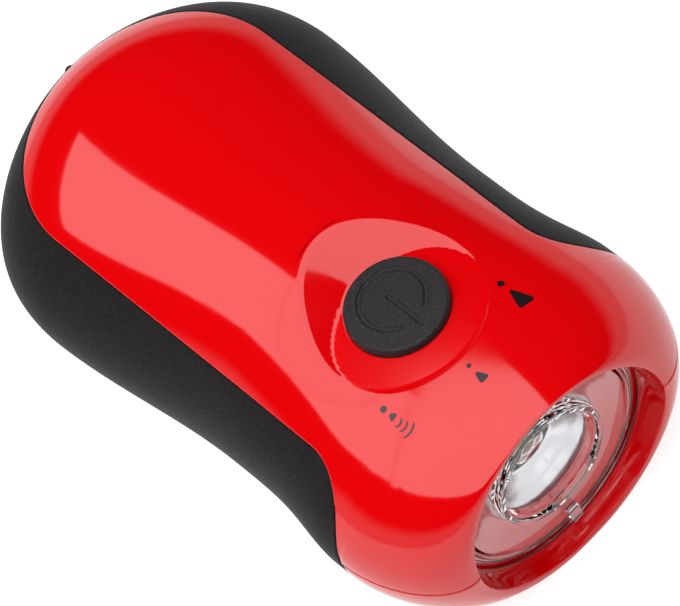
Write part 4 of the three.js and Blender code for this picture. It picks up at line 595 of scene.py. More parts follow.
def half_wave(share: Array) -> Array:
    """Eases a share from nought to one along half a cosine wave."""
    return (1 - np.cos(np.pi * share)) / 2


def oval(share: Array, power: Array | float) -> Array:
    """Gives the height of a superellipse at a share of its half width."""
    return (1 - np.clip(share, 0, 1) ** power) ** (1 / power)


def soft_max(one: Array | float, two: Array | float, blend: float) -> Array:
    """Gives the larger value, rounded over where the two come within a blend of each other."""
    return blend * np.logaddexp(one / blend, two / blend)


def soft_min(one: Array | float, two: Array | float, blend: float) -> Array:
    """Gives the smaller value, rounded over where the two come within a blend of each other."""
    return -soft_max(-one, -two, blend)


@dataclass(frozen=True)
class RoundHole:
    """A round hole that the rows and columns of a surface bend round.

    The hole takes ``cells`` of the lattice to each side.  ``rings`` outside it stay round, one
    ``step`` apart, and ``fade`` more lead back to the lattice.  With a ``contour``, ring number
    ``contour_ring`` keeps to that distance from the centre, which is given for the share of each
    direction that points towards the tail, and ``contour_fade`` more lead back to round.
    """

    x: float
    y: float
    radius: float
    cells: int
    step: float
    rings: int
    fade: int
    contour: Optional[Callable[[Array], Array]] = None
    contour_ring: int = 11
    contour_fade: int = 9

    def open(self, plan: Array) -> tuple[Array, Array, tuple[Array, Array]]:
        """Bends the lattice and finds the hole's edge.

        Args:
            plan: Rows by columns by two.

        Returns:
            The bent plan, the faces that fall in the hole, and the row and column numbers of
            the points round it.
        """
        gap = np.hypot(plan[..., 0] - self.x, plan[..., 1] - self.y)
        row, col = np.unravel_index(np.argmin(gap), gap.shape)
        rows, cols = np.indices(gap.shape)
        down, across = rows - row, cols - col
        ring = np.maximum(np.abs(down), np.abs(across))
        way = np.stack([across, down], axis=-1).astype(float)
        reach = (ring - self.cells) * self.step
        if self.contour:
            kept = self.contour_ring * self.step
            stretch = (self.contour(unit(way)[..., 1]) - self.radius) / kept
            beyond = smooth((ring - self.cells - self.contour_ring) / self.contour_fade)
            reach = reach * (stretch + (1 - stretch) * beyond)
        reach = self.radius + reach
        circle = np.array([self.x, self.y]) + unit(way) * reach[..., None]
        weight = 1 - smooth((ring - self.cells - self.rings) / self.fade)
        bent = plan + (circle - plan) * weight[..., None]
        corner = np.maximum(np.maximum(ring[:-1, :-1], ring[1:, :-1]),
                            np.maximum(ring[:-1, 1:], ring[1:, 1:]))
        k = self.cells
        span = np.arange(-k, k)
        full = np.full(2 * k, k)
        loop_down = np.concatenate([-full, span, full, -span])
        loop_across = np.concatenate([span, full, -span, -full])
        return bent, corner <= k, (row + loop_down, col + loop_across)


@dataclass(frozen=True)
class BodyForm:
    """The torch's outer form: lofted sections that run from the round nose to the tail.

    A size with three values has them for the nose, the waist and the tail, at ``stations``, which
    count ahead of the middle for the first two and behind it for the last.
    """

    nose_length: float = -NOSE_TIP
    tail_length: float = 52.5
    half_widths: tuple[float, float, float] = (29.35, 27.2, 30.2)
    uppers: tuple[float, float, float] = (19.6, 22.3, 20.1)
    lower: float = 21.3
    flat: float = 19.45
    stations: tuple[float, float, float] = (31.0, 8.0, 30.0)
    shoulder: float = 22.0
    tail_round: float = 25.2
    lip: float = 19.4
    nose_power: float = 2.2
    side_power: float = 1.75
    side_shoulder: float = 17.0
    waist_ease: float = 1.76
    tail_power: float = 2.36
    crown_power: float = 3.05
    upper_power: float = 1.96
    lower_power: float = 2.12
    dish_y: float = DISH_Y
    pad_height: float = 19.0
    pad_crown: float = 1.2
    pad_reach: tuple[float, float, float] = (12.6, 15.0, 13.0)
    pad_slope: float = 0.5
    flank_blend: float = 0.06
    pad_blend: float = 0.03
    dish_reach: float = 16.2
    lip_setback: float = 2.1
    lip_height: float = 18.5
    lip_fade: float = 20.0
    flat_blend: float = 0.22

    def along(self, y: Array, sizes: Sequence[float], ease: float = 1.0) -> Array:
        """Runs a size from its nose value through the waist to its tail value."""
        nose, waist, tail = self.stations
        ahead = np.clip((-waist - y) / (nose - waist), 0, 1) ** ease
        behind = np.clip((y + waist) / (tail + waist), 0, 1)
        at_nose, at_waist, at_tail = sizes
        return (at_waist + (at_nose - at_waist) * half_wave(ahead)
                + (at_tail - at_waist) * half_wave(behind))

    def rounded(self, size: Array, y: Array, power: float, shoulder: float, ahead: float) -> Array:
        """Rounds a size over at both ends of the body.

        Args:
            size: The size without the rounding.
            y: Along the body.
            power: Power of the tail's curve.
            shoulder: Length of the nose's curve.
            ahead: Its power.

        Returns:
            The rounded size.
        """
        nose = oval((shoulder - self.nose_length - y) / shoulder, ahead)
        start = self.tail_length - self.tail_round
        tail = oval((y - start) / self.tail_round, power)
        return (self.lip + (size - self.lip) * nose) * tail

    def half_width(self, y: Array) -> Array:
        """Gives the half width at the parting plane."""
        wide = self.along(y, self.half_widths, self.waist_ease)
        return self.rounded(wide, y, self.tail_power, self.side_shoulder, self.side_power)

    def reach(self, y: Array, side: Side) -> Array:
        """Gives the height of the middle above or below the parting plane."""
        if side is Side.TOP:
            size = self.along(y, self.uppers)
        else:
            size = np.full_like(y, self.lower)
        return self.rounded(size, y, self.crown_power, self.shoulder, self.nose_power)

    def power(self, y: Array, side: Side) -> Array:
        """Gives the power of the section's curve."""
        if side is Side.TOP:
            return np.full_like(y, self.upper_power)
        ahead = (self.shoulder - self.nose_length - y) / self.shoulder
        round_power = 2.0
        return round_power + (self.lower_power - round_power) * oval(ahead, self.nose_power)

    def height(self, x: Array, y: Array, side: Side) -> Array:
        """Gives the distance of the bare form from the parting plane.

        Args:
            x: Across the body.
            y: Along the body.
            side: Which half.

        Returns:
            Distances, never negative.
        """
        share = np.abs(x) / np.maximum(self.half_width(y), 1e-9)
        return self.reach(y, side) * oval(share, self.power(y, side))

    def pad(self, x: Array) -> Array:
        """Gives the height of the slightly crowned pad round the button."""
        return self.pad_height - self.pad_crown * (x / self.pad_reach[0]) ** 2

    def pad_edge(self, way: Array) -> Array:
        """Gives the distance of the pad's crisp edge from the button's axis.

        Args:
            way: How much each direction points towards the tail, from minus one to one.

        Returns:
            Distances.
        """
        sides, tail, nose = self.pad_reach
        behind, ahead = (tail - sides) * np.abs(way) ** 5, (nose - sides) * way ** 2
        return sides + np.where(way > 0, behind, ahead)

    def dished(self, x: Array, y: Array, bare: Array) -> Array:
        """Sinks the pad round the button into the bare form.

        Args:
            x: Across the body.
            y: Along the body.
            bare: Height of the bare form.

        Returns:
            Heights, with a crisp shoulder where the pad's conical flank meets the form.
        """
        behind = y - self.dish_y
        radius = np.maximum(np.hypot(x, behind), 1e-6)
        across, way = x / radius, behind / radius
        edge = self.pad_edge(way)
        edge_x, edge_y = across * edge, self.dish_y + way * edge
        slope = self.pad_slope * (1 + 2 * smooth(-way))
        rise = np.maximum(self.height(edge_x, edge_y, Side.TOP) - self.pad(edge_x), 0)
        flank = slope * soft_max(0.0, radius - (edge - rise / slope), self.flank_blend)
        sunk = soft_min(bare, self.pad(x) + flank, self.pad_blend)
        clear = 1.0
        return np.where(radius > edge + clear, bare, sunk)

    def set_back(self, points: Array) -> Array:
        """Draws the lower lip back from the upper one, most at its middle.

        Args:
            points: Points of the lower shell.

        Returns:
            The points moved towards the tail.
        """
        near = smooth((self.lip_fade - self.nose_length - points[..., 1]) / self.lip_fade)
        moved = points.copy()
        moved[..., 1] += self.lip_setback * np.abs(points[..., 2]) / self.lip_height * near
        return moved

    def surface(self, x: Array, y: Array, side: Side) -> Array:
        """Gives the signed height of the finished surface."""
        bare = self.height(x, y, side)
        if side is Side.TOP:
            return self.dished(x, y, bare)
        return -soft_min(bare, self.flat, self.flat_blend)

    def top_normals(self, x: Array, y: Array, step: float) -> Array:
        """Works out the normals of the upper surface from points a step to each side."""
        rise_x = self.surface(x + step, y, Side.TOP) - self.surface(x - step, y, Side.TOP)
        rise_y = self.surface(x, y + step, Side.TOP) - self.surface(x, y - step, Side.TOP)
        return unit(np.dstack([-rise_x, -rise_y, np.full_like(x, 2 * step)]))

    def dish_normals(self, x: Array, y: Array, others: Array) -> Array:
        """Gives exact normals round the button, so that the pad's edges stay crisp.

        Args:
            x: Across the body.
            y: Along the body.
            others: Normals that stay away from the dish.

        Returns:
            Unit normals of the upper surface.
        """
        near = np.hypot(x, y - self.dish_y) < self.dish_reach
        return np.where(near[..., None], self.top_normals(x, y, 0.03), others)


@dataclass(frozen=True)
class Seam:
    """The edge between the red shells and the band, seen from above."""

    half_width: float = BAND_HALF
    tail_y: float = 29.5
    tail_length: float = 19.3
    flare: float = 9.5
    flare_y: float = -24.3

    def flare_point(self, angle: Array, offset: float) -> tuple[Array, Array]:
        """Gives a point of the flare at the nose, by its angle from straight ahead."""
        radius = self.flare - offset
        centre = self.half_width + self.flare
        return centre - radius * np.sin(angle), self.flare_y - radius * np.cos(angle)

    def tail_point(self, angle: Array, offset: float) -> tuple[Array, Array]:
        """Gives a point of the tail's half ellipse, by its angle from the side."""
        return ((self.half_width + offset) * np.cos(angle),
                self.tail_y + (self.tail_length + offset) * np.sin(angle))

    def corner(self, form: BodyForm, offset: float, level: float, side: Side) -> float:
        """Finds the flare angle at which the seam leaves the body's outline.

        Args:
            form: The body.
            offset: How far outside the seam.
            level: Distance from the parting plane.
            side: Which half.

        Returns:
            The angle.
        """
        low, high = 0.0, math.pi / 2
        for _ in range(HALVINGS):
            angle = (low + high) / 2
            x, y = self.flare_point(np.array([angle]), offset)
            if form.height(x, y, side)[0] < level:
                low = angle
            else:
                high = angle
        return high


@dataclass
class RedShell:
    """One of the two glossy shells: outer skin, rolled edges, lens rim and holes.

    Its lattice has rows along the body and columns across it.  The rows crowd where the nose and
    the tail turn over, and run even (``even_rows`` before and after the button) between them.
    """

    form: BodyForm
    seam: Seam
    side: Side
    holes: Sequence[RoundHole]
    hole_floors: Sequence[float]
    edge: float = 0.3
    inset: float = 0.14
    parting: float = 0.1
    wall: float = 2.0
    inner_half: float = 16.4
    inner_cells: int = 41
    outer_cells: int = 30
    edge_swing: float = 1.5
    row_step: float = ROW_STEP
    nose_rows: int = 26
    nose_end_deg: float = 43.0
    even_rows: tuple[int, int] = (-52, 50)
    straight_rows: int = 60
    tail_rows: int = 57
    tail_end_deg: float = 87.5
    flare_rows: int = 37
    ahead_rows: int = 18
    behind_rows: int = 14
    behind_meets: int = 66
    rim_radius: float = 18.5
    sight_radius: float = 18.0
    groove_y: float = -45.4
    clear_radius: float = 0.0
    clear_place: Place = (0.0, CRANK_Y)

    def rows(self) -> tuple[Array, Array, Array, int]:
        """Lays out the rows.

        Returns:
            Row places at the middle, row places at the edge, edge half widths, and the number
            of rows whose edge lies on the parting plane.
        """
        form, seam = self.form, self.seam
        top_angle = np.radians(np.linspace(90.0, self.nose_end_deg, self.nose_rows))
        nose = form.shoulder - form.nose_length - form.shoulder * np.sin(top_angle)
        even = form.dish_y + self.row_step * np.arange(*self.even_rows)
        straight = np.linspace(even[-1], seam.tail_y, self.straight_rows)[1:]
        tail_angle = np.radians(np.linspace(0.0, self.tail_end_deg, self.tail_rows))[1:]
        tail_x, tail_y = seam.tail_point(tail_angle, -self.inset)
        level = self.parting + self.edge
        first = seam.corner(form, -self.inset, level, self.side)
        flare_angle = np.linspace(first, math.pi / 2, self.flare_rows)
        flare_x, flare_y = seam.flare_point(flare_angle, -self.inset)
        ahead = np.linspace(even[0], flare_y[0], self.ahead_rows)[:-1]
        behind = np.linspace(flare_y[-1], even[self.behind_meets], self.behind_rows)[1:]
        plain = np.concatenate([behind, even[self.behind_meets + 1:], straight])
        parted_y = np.concatenate([nose, ahead])
        share = level / form.reach(parted_y, self.side)
        outline = form.half_width(parted_y) * oval(share, form.power(parted_y, self.side))
        side_x = np.full(len(plain), seam.half_width - self.inset)
        middle_y = np.concatenate([nose, even, straight, tail_y])
        edge_y = np.concatenate([parted_y, flare_y, plain, tail_y])
        edge_x = np.concatenate([outline, flare_x, side_x, tail_x])
        return middle_y, edge_y, edge_x, len(parted_y)

    def plan(self) -> tuple[Array, int]:
        """Lays out the lattice in plan.

        Returns:
            Rows by columns by two, and the number of rows whose edge is on the parting plane.
        """
        middle_y, edge_y, edge_x, parted = self.rows()
        full = self.seam.half_width
        inner = self.inner_half * np.where(middle_y > self.seam.tail_y, edge_x / full, 1.0)
        centre = np.arange(0, self.inner_cells + 1) / self.inner_cells
        x_inner = inner[:, None] * centre[None, :]
        y_inner = np.repeat(middle_y[:, None], len(centre), axis=1)
        share = np.arange(1, self.outer_cells + 1) / self.outer_cells
        swing = share[None, :] ** self.edge_swing
        y_outer = middle_y[:, None] + (edge_y - middle_y)[:, None] * swing
        power = self.form.power(y_outer, self.side)
        half = self.form.half_width(y_outer)
        start = np.arcsin(np.clip(inner[:, None] / half, 0, 1) ** (power / 2))
        end_power = self.form.power(edge_y, self.side)
        end = np.arcsin(np.clip(edge_x / self.form.half_width(edge_y), 0, 1) ** (end_power / 2))
        angle = start + (end[:, None] - start) * share[None, :]
        x_outer = half * np.sin(angle) ** (2 / power)
        x_outer[:, -1], y_outer[:, -1] = edge_x, edge_y
        x_right = np.concatenate([x_inner, x_outer], axis=1)
        y_right = np.concatenate([y_inner, y_outer], axis=1)
        x = np.concatenate([-x_right[:, :0:-1], x_right], axis=1)
        y = np.concatenate([y_right[:, :0:-1], y_right], axis=1)
        return np.stack([x, y], axis=-1), parted

    def rim(self, first: Array) -> Array:
        """Carries the first row over the lip and into the lens recess.

        Args:
            first: The points of the surface's first row.

        Returns:
            Rows from deep in the recess to just before the surface.
        """
        across = first * np.array([1.0, 0.0, 1.0])
        way, lip, front = unit(across), np.linalg.norm(across, axis=1), first[:, 1]
        roll, rim, sight = self.edge, self.rim_radius, self.sight_radius
        groove = np.full_like(front, self.groove_y)
        turned_in = np.array([0.05, 0.7])
        places = [(groove + turned_in[0], sight + turned_in[1]), (groove, sight)]
        for share in np.linspace(0, 1, 8)[1:-1]:
            places.append((groove + (front + roll - groove) * share, sight + (rim - sight) * share))
        for angle in np.radians(np.linspace(90, 0, 5)):
            behind, inside = roll * (1 - math.cos(angle)), roll * (1 - math.sin(angle))
            places.append((front + behind, rim + inside))
        places.append((front, (rim + roll + lip) / 2))
        axis = np.array([0.0, 1.0, 0.0])
        return np.stack([way * np.broadcast_to(radius, front.shape)[:, None] + y[:, None] * axis
                         for y, radius in places])

    def build(self, name: str, node: str) -> Object:
        """Builds the shell.

        Args:
            name: The piece's name.
            node: The CAD node that it replaces.

        Returns:
            The piece.
        """
        plan, parted = self.plan()
        rows, cols = plan.shape[:2]
        gone = np.zeros((rows - 1, cols - 1), dtype=bool)
        rings = []
        for hole in self.holes:
            plan, inside, ring = hole.open(plan)
            gone |= inside
            rings.append(ring)
        sign = self.side.value
        z = sign * np.abs(self.form.surface(plan[..., 0], plan[..., 1], self.side))
        if self.clear_radius:
            near = np.hypot(plan[..., 0] - self.clear_place[0], plan[..., 1] - self.clear_place[1])
            close = near < self.clear_radius
            gone |= close[:-1, :-1] & close[1:, :-1] & close[:-1, 1:] & close[1:, 1:]
        points = np.dstack([plan, z])
        if self.side is Side.BOTTOM:
            points = self.form.set_back(points)
        rim = self.rim(points[0])
        lead = len(rim)
        points = np.concatenate([rim, points])
        gone = np.concatenate([np.zeros((lead, cols - 1), dtype=bool), gone])
        skin = Skin()
        up = np.array([0.0, 0.0, sign])
        normals = unit(cell_normals(points))
        behind_nose = lead + 20
        if np.sum(normals[behind_nose:, cols // 2] * up) < 0:
            normals = -normals
        if self.side is Side.TOP:
            normals[lead:] = self.form.dish_normals(plan[..., 0], plan[..., 1], normals[lead:])
        skin.add(points, normals, gone)
        self.edges(skin, points, normals, lead + parted, up)
        for hole, floor, (down, across) in zip(self.holes, self.hole_floors, rings):
            at = (np.append(down, down[0]) + lead, np.append(across, across[0]))
            loop = points[at]
            centre = np.array([hole.x, hole.y, 0.0])
            away = (centre - loop) * np.array([1.0, 1.0, 0.0])
            depth = np.abs(loop[:, 2] - floor)
            skin.add(*self.wrapped(loop, normals[at], away, -up, depth))
        return skin.build(name, RED_SHELL, "housing", "red_shell", (node,))

    def wrapped(self, loop: Array, normals: Array, away: Array, inward: Array,
                depth: Array) -> tuple[Array, Array]:
        """Rolls the edge of a round hole, whose last point repeats its first."""
        padded = [np.concatenate([part[-3:-1], part, part[1:3]]) for part in (loop, normals, away)]
        deep = np.concatenate([depth[-3:-1], depth, depth[1:3]])
        walls = np.repeat(inward[None], len(padded[0]), axis=0)
        points, made = edge_strip(*padded, walls, self.edge, deep)
        return points[2:-2], made[2:-2]

    def edges(self, skin: Skin, points: Array, normals: Array, parted: int, up: Array) -> None:
        """Rolls the outer edge, first along the parting plane and then along the seam.

        Args:
            skin: The piece's patches.
            points: The surface.
            normals: Its normals.
            parted: How many rows end at the parting plane.
            up: The side's outward direction.
        """
        rows, cols = points.shape[:2]
        last = np.full(cols, rows - 1)
        down = np.concatenate([np.arange(rows), last[1:-1], np.arange(rows)[::-1]])
        across = np.concatenate([np.full(rows, cols - 1), np.arange(cols)[::-1][1:-1],
                                 np.zeros(rows, dtype=int)])
        loop, made = points[down, across], normals[down, across]
        rows_before, rows_to_turn = 3, 5
        on_seam = smooth((down - parted + rows_before) / rows_to_turn)[:, None]
        flat = unit(made * np.array([1.0, 1.0, 0.0]) + 1e-9)
        inward = unit(-flat * (1 - on_seam) - up * on_seam)
        outward = np.repeat([[0.0, 0.0, 1.0]], len(loop), axis=0) * -up[2]
        plan_way = loop * np.array([1.0, 0.35, 0.0])
        away = outward * (1 - on_seam) + unit(plan_way) * on_seam - 0.3 * up
        skin.add(*edge_strip(loop, made, away, inward, self.edge, self.wall))


@dataclass
class GripBand:
    """The black band round the sides and tail, with the lanyard pocket in its tail."""

    form: BodyForm
    seam: Seam
    offset: float = 0.42
    edge: float = 0.35
    wall: float = 1.8
    ledge: float = 1.6
    pocket_half: Place = (6.0, 5.5)
    pocket_floor: float = 46.2
    pocket_edge: float = 0.3
    floor_margin: float = 0.4
    level_cells: int = 14
    middle_cells: int = 9
    flare_rows: int = 31
    straight_rows: int = 86
    corner_rows: int = 52
    pocket_rows: int = 15
    lean_deg: float = 60.0

    def paths(self) -> tuple[Array, Array, int]:
        """Lays out the right side's rows from the seam to the outline.

        Returns:
            Points on the seam, points on the outline, and the row at the pocket's side.
        """
        form, seam, offset = self.form, self.seam, self.offset
        first = seam.corner(form, offset, 0.05, Side.TOP)
        flare = np.linspace(first, math.pi / 2, self.flare_rows)
        start = [np.stack(seam.flare_point(flare, offset), axis=-1)]
        front = start[0][0, 1]
        y = front + (seam.flare_y - front) * np.linspace(0, 1, self.flare_rows)
        end = [np.stack([form.half_width(y), y], axis=-1)]
        y = np.linspace(seam.flare_y, seam.tail_y, self.straight_rows)[1:]
        start.append(np.stack([np.full_like(y, seam.half_width + offset), y], axis=-1))
        end.append(np.stack([form.half_width(y), y], axis=-1))
        pocket = math.acos(self.pocket_half[0] / (seam.half_width + offset))
        angle = np.concatenate([np.linspace(0, pocket, self.corner_rows)[1:],
                                np.linspace(pocket, math.pi / 2, self.pocket_rows)[1:]])
        begin = np.stack(seam.tail_point(angle, offset), axis=-1)
        lean = smooth(angle / math.radians(self.lean_deg))[:, None]
        way = unit(np.array([1.0, 0.0]) * (1 - lean) + np.array([0.0, 1.0]) * lean)
        farthest = 14.0
        low, high = np.zeros(len(angle)), np.full(len(angle), farthest)
        for _ in range(HALVINGS):
            middle = (low + high) / 2
            at = begin + way * middle[:, None]
            inside = (np.abs(at[:, 0]) < form.half_width(at[:, 1])) & (at[:, 1] < form.tail_length)
            low, high = np.where(inside, middle, low), np.where(inside, high, middle)
        start.append(begin)
        end.append(begin + way * low[:, None])
        side_row = self.flare_rows + self.straight_rows + self.corner_rows - 3
        return np.concatenate(start), np.concatenate(end), side_row

    def levels(self, start: Array, end: Array, side: Side) -> Array:
        """Places points down one half, at even heights from the seam to the outline.

        Args:
            start: Points on the seam.
            end: Points on the outline.
            side: Which half.

        Returns:
            Rows by columns by three.
        """
        high = self.form.height(start[:, 0], start[:, 1], side)
        turn = np.minimum(self.pocket_half[1], high * 0.5)[:, None]
        outer = turn + (high[:, None] - turn) * np.linspace(1, 0, self.level_cells + 1)[:-1]
        inner = turn * np.linspace(1, 0, self.middle_cells + 1)
        level = np.concatenate([outer, inner], axis=1)
        low, top = np.zeros_like(level), np.ones_like(level)
        for _ in range(HALVINGS):
            share = (low + top) / 2
            x = start[:, :1] + (end - start)[:, :1] * share
            y = start[:, 1:] + (end - start)[:, 1:] * share
            above = self.form.height(x, y, side) > level
            low, top = np.where(above, share, low), np.where(above, top, share)
        share = low
        share[:, 0] = 0.0
        x = start[:, :1] + (end - start)[:, :1] * share
        y = start[:, 1:] + (end - start)[:, 1:] * share
        return np.dstack([x, y, side.value * level])

    def build(self) -> Object:
        """Builds the band.

        Returns:
            The piece.
        """
        start, end, side_row = self.paths()
        top = self.levels(start, end, Side.TOP)
        bottom = self.levels(start, end, Side.BOTTOM)
        right = np.concatenate([top, bottom[:, -2::-1]], axis=1)
        right[-1, :, 0] = 0.0
        left = right[-2::-1] * np.array([-1.0, 1.0, 1.0])
        points = np.concatenate([right, left])
        rows, cols = points.shape[:2]
        k = self.level_cells
        gone = np.zeros((rows - 1, cols - 1), dtype=bool)
        gone[side_row:rows - 1 - side_row, k:cols - 1 - k] = True
        skin = Skin()
        normals = skin.add(points, gone=gone, outward=points * np.array([1.0, 0.4, 0.3]))
        for col, down in ((0, -1.0), (cols - 1, 1.0)):
            self.seam_edge(skin, points[:, col], normals[:, col], down)
        self.pocket(skin, points, normals, side_row, k)
        return skin.build("grip_band_soft", GRIP, "housing", "grip", ("grip_band",))

    def seam_edge(self, skin: Skin, loop: Array, normals: Array, down: float) -> None:
        """Rolls the edge beside a red shell and slips a ledge under that shell.

        Args:
            skin: The piece's patches.
            loop: The points of the edge in order.
            normals: The surface normals there.
            down: The sign of the height that leads into the torch.
        """
        rows = len(loop)
        y = loop[:, 1]
        flare = np.clip((self.seam.flare_y - y) / self.seam.flare, 0, 1)
        tail = np.clip((y - self.seam.tail_y) / self.seam.tail_length, 0, 1)
        sign = np.where(np.arange(rows) <= rows // 2, 1.0, -1.0)
        way = np.stack([-sign * (1 - tail ** 2), -flare - tail, np.zeros(rows)], axis=-1)
        inward = np.repeat([[0.0, 0.0, down]], rows, axis=0)
        points, made = edge_strip(loop, normals, unit(way), inward, self.edge, self.wall)
        skin.add(points, made)
        foot = points[:, -1]
        flat = unit(made[:, -1] * np.array([1.0, 1.0, 0.0]))
        shelf = np.stack([foot, foot + flat * self.ledge], axis=1)
        skin.add(shelf, np.repeat([[[0.0, 0.0, -down]]], rows, axis=0).repeat(2, axis=1))

    def pocket(self, skin: Skin, points: Array, normals: Array, row: int, col: int) -> None:
        """Adds the walls and floor of the lanyard pocket.

        Args:
            skin: The piece's patches.
            points: The surface.
            normals: Its normals.
            row: The row at the pocket's side.
            col: The column at its upper edge.
        """
        rows, cols = points.shape[:2]
        far_row, far_col = rows - 1 - row, cols - 1 - col
        down = np.concatenate([np.arange(row, far_row), np.full(far_col - col, far_row),
                               np.arange(far_row, row, -1), np.full(far_col - col, row)])
        across = np.concatenate([np.full(far_row - row, col), np.arange(col, far_col),
                                 np.full(far_row - row, far_col), np.arange(far_col, col, -1)])
        down, across = np.append(down, down[0]), np.append(across, across[0])
        loop, made = points[down, across], normals[down, across]
        away = -loop * np.array([1.0, 0.0, 1.0])
        inward = np.repeat([[0.0, -1.0, 0.0]], len(loop), axis=0)
        depth = loop[:, 1] - self.pocket_floor
        skin.add(*edge_strip(loop, made, away, inward, self.pocket_edge, depth))
        half_x, half_z = (half + self.floor_margin for half in self.pocket_half)
        floor = np.array([[[x, self.pocket_floor, z] for x in (-half_x, half_x)]
                          for z in (-half_z, half_z)])
        skin.add(floor, np.tile([0.0, 1.0, 0.0], (2, 2, 1)))


# Turned pieces


def filleted(profile: Outline, radius: float, steps: int = 3) -> Array:
    """Rounds the corners of a profile.

    Args:
        profile: Corner places.
        radius: Radius of each round, less where the sides are short.
        steps: Steps of each round.

    Returns:
        Points by two.
    """
    corners = [np.array(c, dtype=float) for c in profile]
    points = [corners[0]]
    for before, corner, after in zip(corners, corners[1:], corners[2:]):
        to_before, to_after = unit(before - corner), unit(after - corner)
        room = 0.45 * min(np.linalg.norm(before - corner), np.linalg.norm(after - corner))
        bend = math.acos(float(np.clip(np.dot(to_before, to_after), -1, 1)))
        nearly_straight = math.pi - bend < 0.02
        if nearly_straight:
            points.append(corner)
            continue
        cut = min(radius / math.tan(bend / 2), room)
        first, last = corner + to_before * cut, corner + to_after * cut
        for i in range(steps + 1):
            share = i / steps
            points.append((1 - share) ** 2 * first + 2 * share * (1 - share) * corner
                          + share ** 2 * last)
    points.append(corners[-1])
    return np.array(points)


def curve_through(points: Outline, steps: int = 5) -> list[Place]:
    """Runs a smooth curve through points.

    Args:
        points: Places to pass.
        steps: Steps between two places.

    Returns:
        The places on the curve.
    """
    given = [2 * np.array(points[0]) - np.array(points[1]), *map(np.array, points),
             2 * np.array(points[-1]) - np.array(points[-2])]
    made = []
    for a, b, c, d in zip(given, given[1:], given[2:], given[3:]):
        for i in range(steps):
            t = i / steps
            made.append(tuple(0.5 * (2 * b + (c - a) * t + (2 * a - 5 * b + 4 * c - d) * t ** 2
                                     + (3 * b - a - 3 * c + d) * t ** 3)))
    return made + [tuple(points[-1])]


def level_rings(profile: Outline, angle: Array) -> Array:
    """Gives a level ring of points for each radius and height of a profile."""
    return np.stack([np.stack([radius * np.cos(angle), radius * np.sin(angle),
                               np.full_like(angle, height)], axis=-1)
                     for radius, height in profile])


class Axis(Enum):
    """A piece's axis, as the order that puts two places across it and one along it in X, Y, Z."""

    ALONG_X = (2, 0, 1)
    ALONG_Y = (0, 2, 1)
    ALONG_Z = (0, 1, 2)

    def place(self, *across_and_along: Array | float) -> tuple[Array | float, ...]:
        """Puts two places across the axis and one along it in the order X, Y, Z."""
        return tuple(across_and_along[i] for i in self.value)


@dataclass
class Turned:
    """A piece turned from a profile of radius and length, with rounded corners.

    Flutes run along ``flute_span`` on its outer side, cut into cells of ``flute_cell``, and fade
    in and out over ``flute_ramp``.
    """

    profile: Outline
    axis: Axis = Axis.ALONG_Z
    centre: tuple[float, float, float] = (0.0, 0.0, 0.0)
    fillet: float = 0.15
    sides: int = 96
    flutes: int = 0
    flute_depth: float = 0.0
    flute_cell: float = 0.4
    flute_ramp: float = 0.5
    flute_span: Place = (0.0, 0.0)

    def points(self) -> Array:
        """Turns the profile.

        Returns:
            Rows by columns by three, one ring to a row.
        """
        outline = filleted(self.profile, self.fillet)
        if self.flutes:
            dense = [outline[0]]
            for a, b in zip(outline, outline[1:]):
                count = max(1, int(np.linalg.norm(b - a) / self.flute_cell))
                dense += [a + (b - a) * (i + 1) / count for i in range(count)]
            outline = np.array(dense)
        angle = np.linspace(0, 2 * np.pi, self.sides, endpoint=False)
        tip_radius = 0.0005
        radius = np.maximum(outline[:, :1], tip_radius) + np.zeros((1, self.sides))
        if self.flutes:
            low, high = self.flute_span
            along = outline[:, 1]
            part = (smooth((along - low) / self.flute_ramp)
                    * smooth((high - along) / self.flute_ramp))
            wave = 0.5 + 0.5 * np.cos(self.flutes * angle)
            outer = outline[:, 0] > 0.6 * outline[:, 0].max()
            radius = radius - self.flute_depth * wave[None, :] * (part * outer)[:, None]
        length = outline[:, 1:] + np.zeros((1, self.sides))
        place = self.axis.place(radius * np.cos(angle), radius * np.sin(angle), length)
        return np.dstack(place) + np.array(self.centre)

    def add_to(self, skin: Skin) -> None:
        """Adds the surface to a skin, with normals that face out of the solid."""
        points = self.points()
        made = cell_normals(points, closed=True)
        inside_out = np.sum(made * (points - np.array(self.centre))) < 0
        skin.add(points, -unit(made) if inside_out else unit(made), closed=True)

    def build(self, name: str, finish: Finish, body: str, slot: str,
              replaces: Sequence[str] = ()) -> Object:
        """Builds the piece and puts it on its body."""
        skin = Skin()
        self.add_to(skin)
        return skin.build(name, finish, body, slot, replaces)


# Moulded pieces cut from solids


def raw_prism(outline: Outline, low: float, high: float, axis: Axis = Axis.ALONG_Z) -> Object:
    """Makes a scratch prism in millimetres.

    Args:
        outline: Corners, across the axis.
        low: Where it starts along the axis.
        high: Where it ends.
        axis: The axis.

    Returns:
        A scratch object.
    """
    shape = bmesh.new()
    rings = [[shape.verts.new(axis.place(a, b, along)) for a, b in outline]
             for along in (low, high)]
    count = len(outline)
    for i in range(count):
        j = (i + 1) % count
        shape.faces.new((rings[0][i], rings[0][j], rings[1][j], rings[1][i]))
    shape.faces.new(rings[0][::-1])
    shape.faces.new(rings[1])
    bmesh.ops.recalc_face_normals(shape, faces=shape.faces)
    mesh = bpy.data.meshes.new("scratch")
    shape.to_mesh(mesh)
    shape.free()
    made = bpy.data.objects.new("scratch", mesh)
    bpy.context.scene.collection.objects.link(made)
    return made


def circle(x: float, y: float, radius: float, sides: int = 72) -> list[Place]:
    """Gives the corners of a fine circle."""
    turn = np.linspace(0, 2 * np.pi, sides, endpoint=False)
    return [(x + radius * math.cos(t), y + radius * math.sin(t)) for t in turn]


def box(left: float, right: float, near: float, far: float) -> list[Place]:
    """Gives the corners of a rectangle."""
    return [(left, near), (right, near), (right, far), (left, far)]


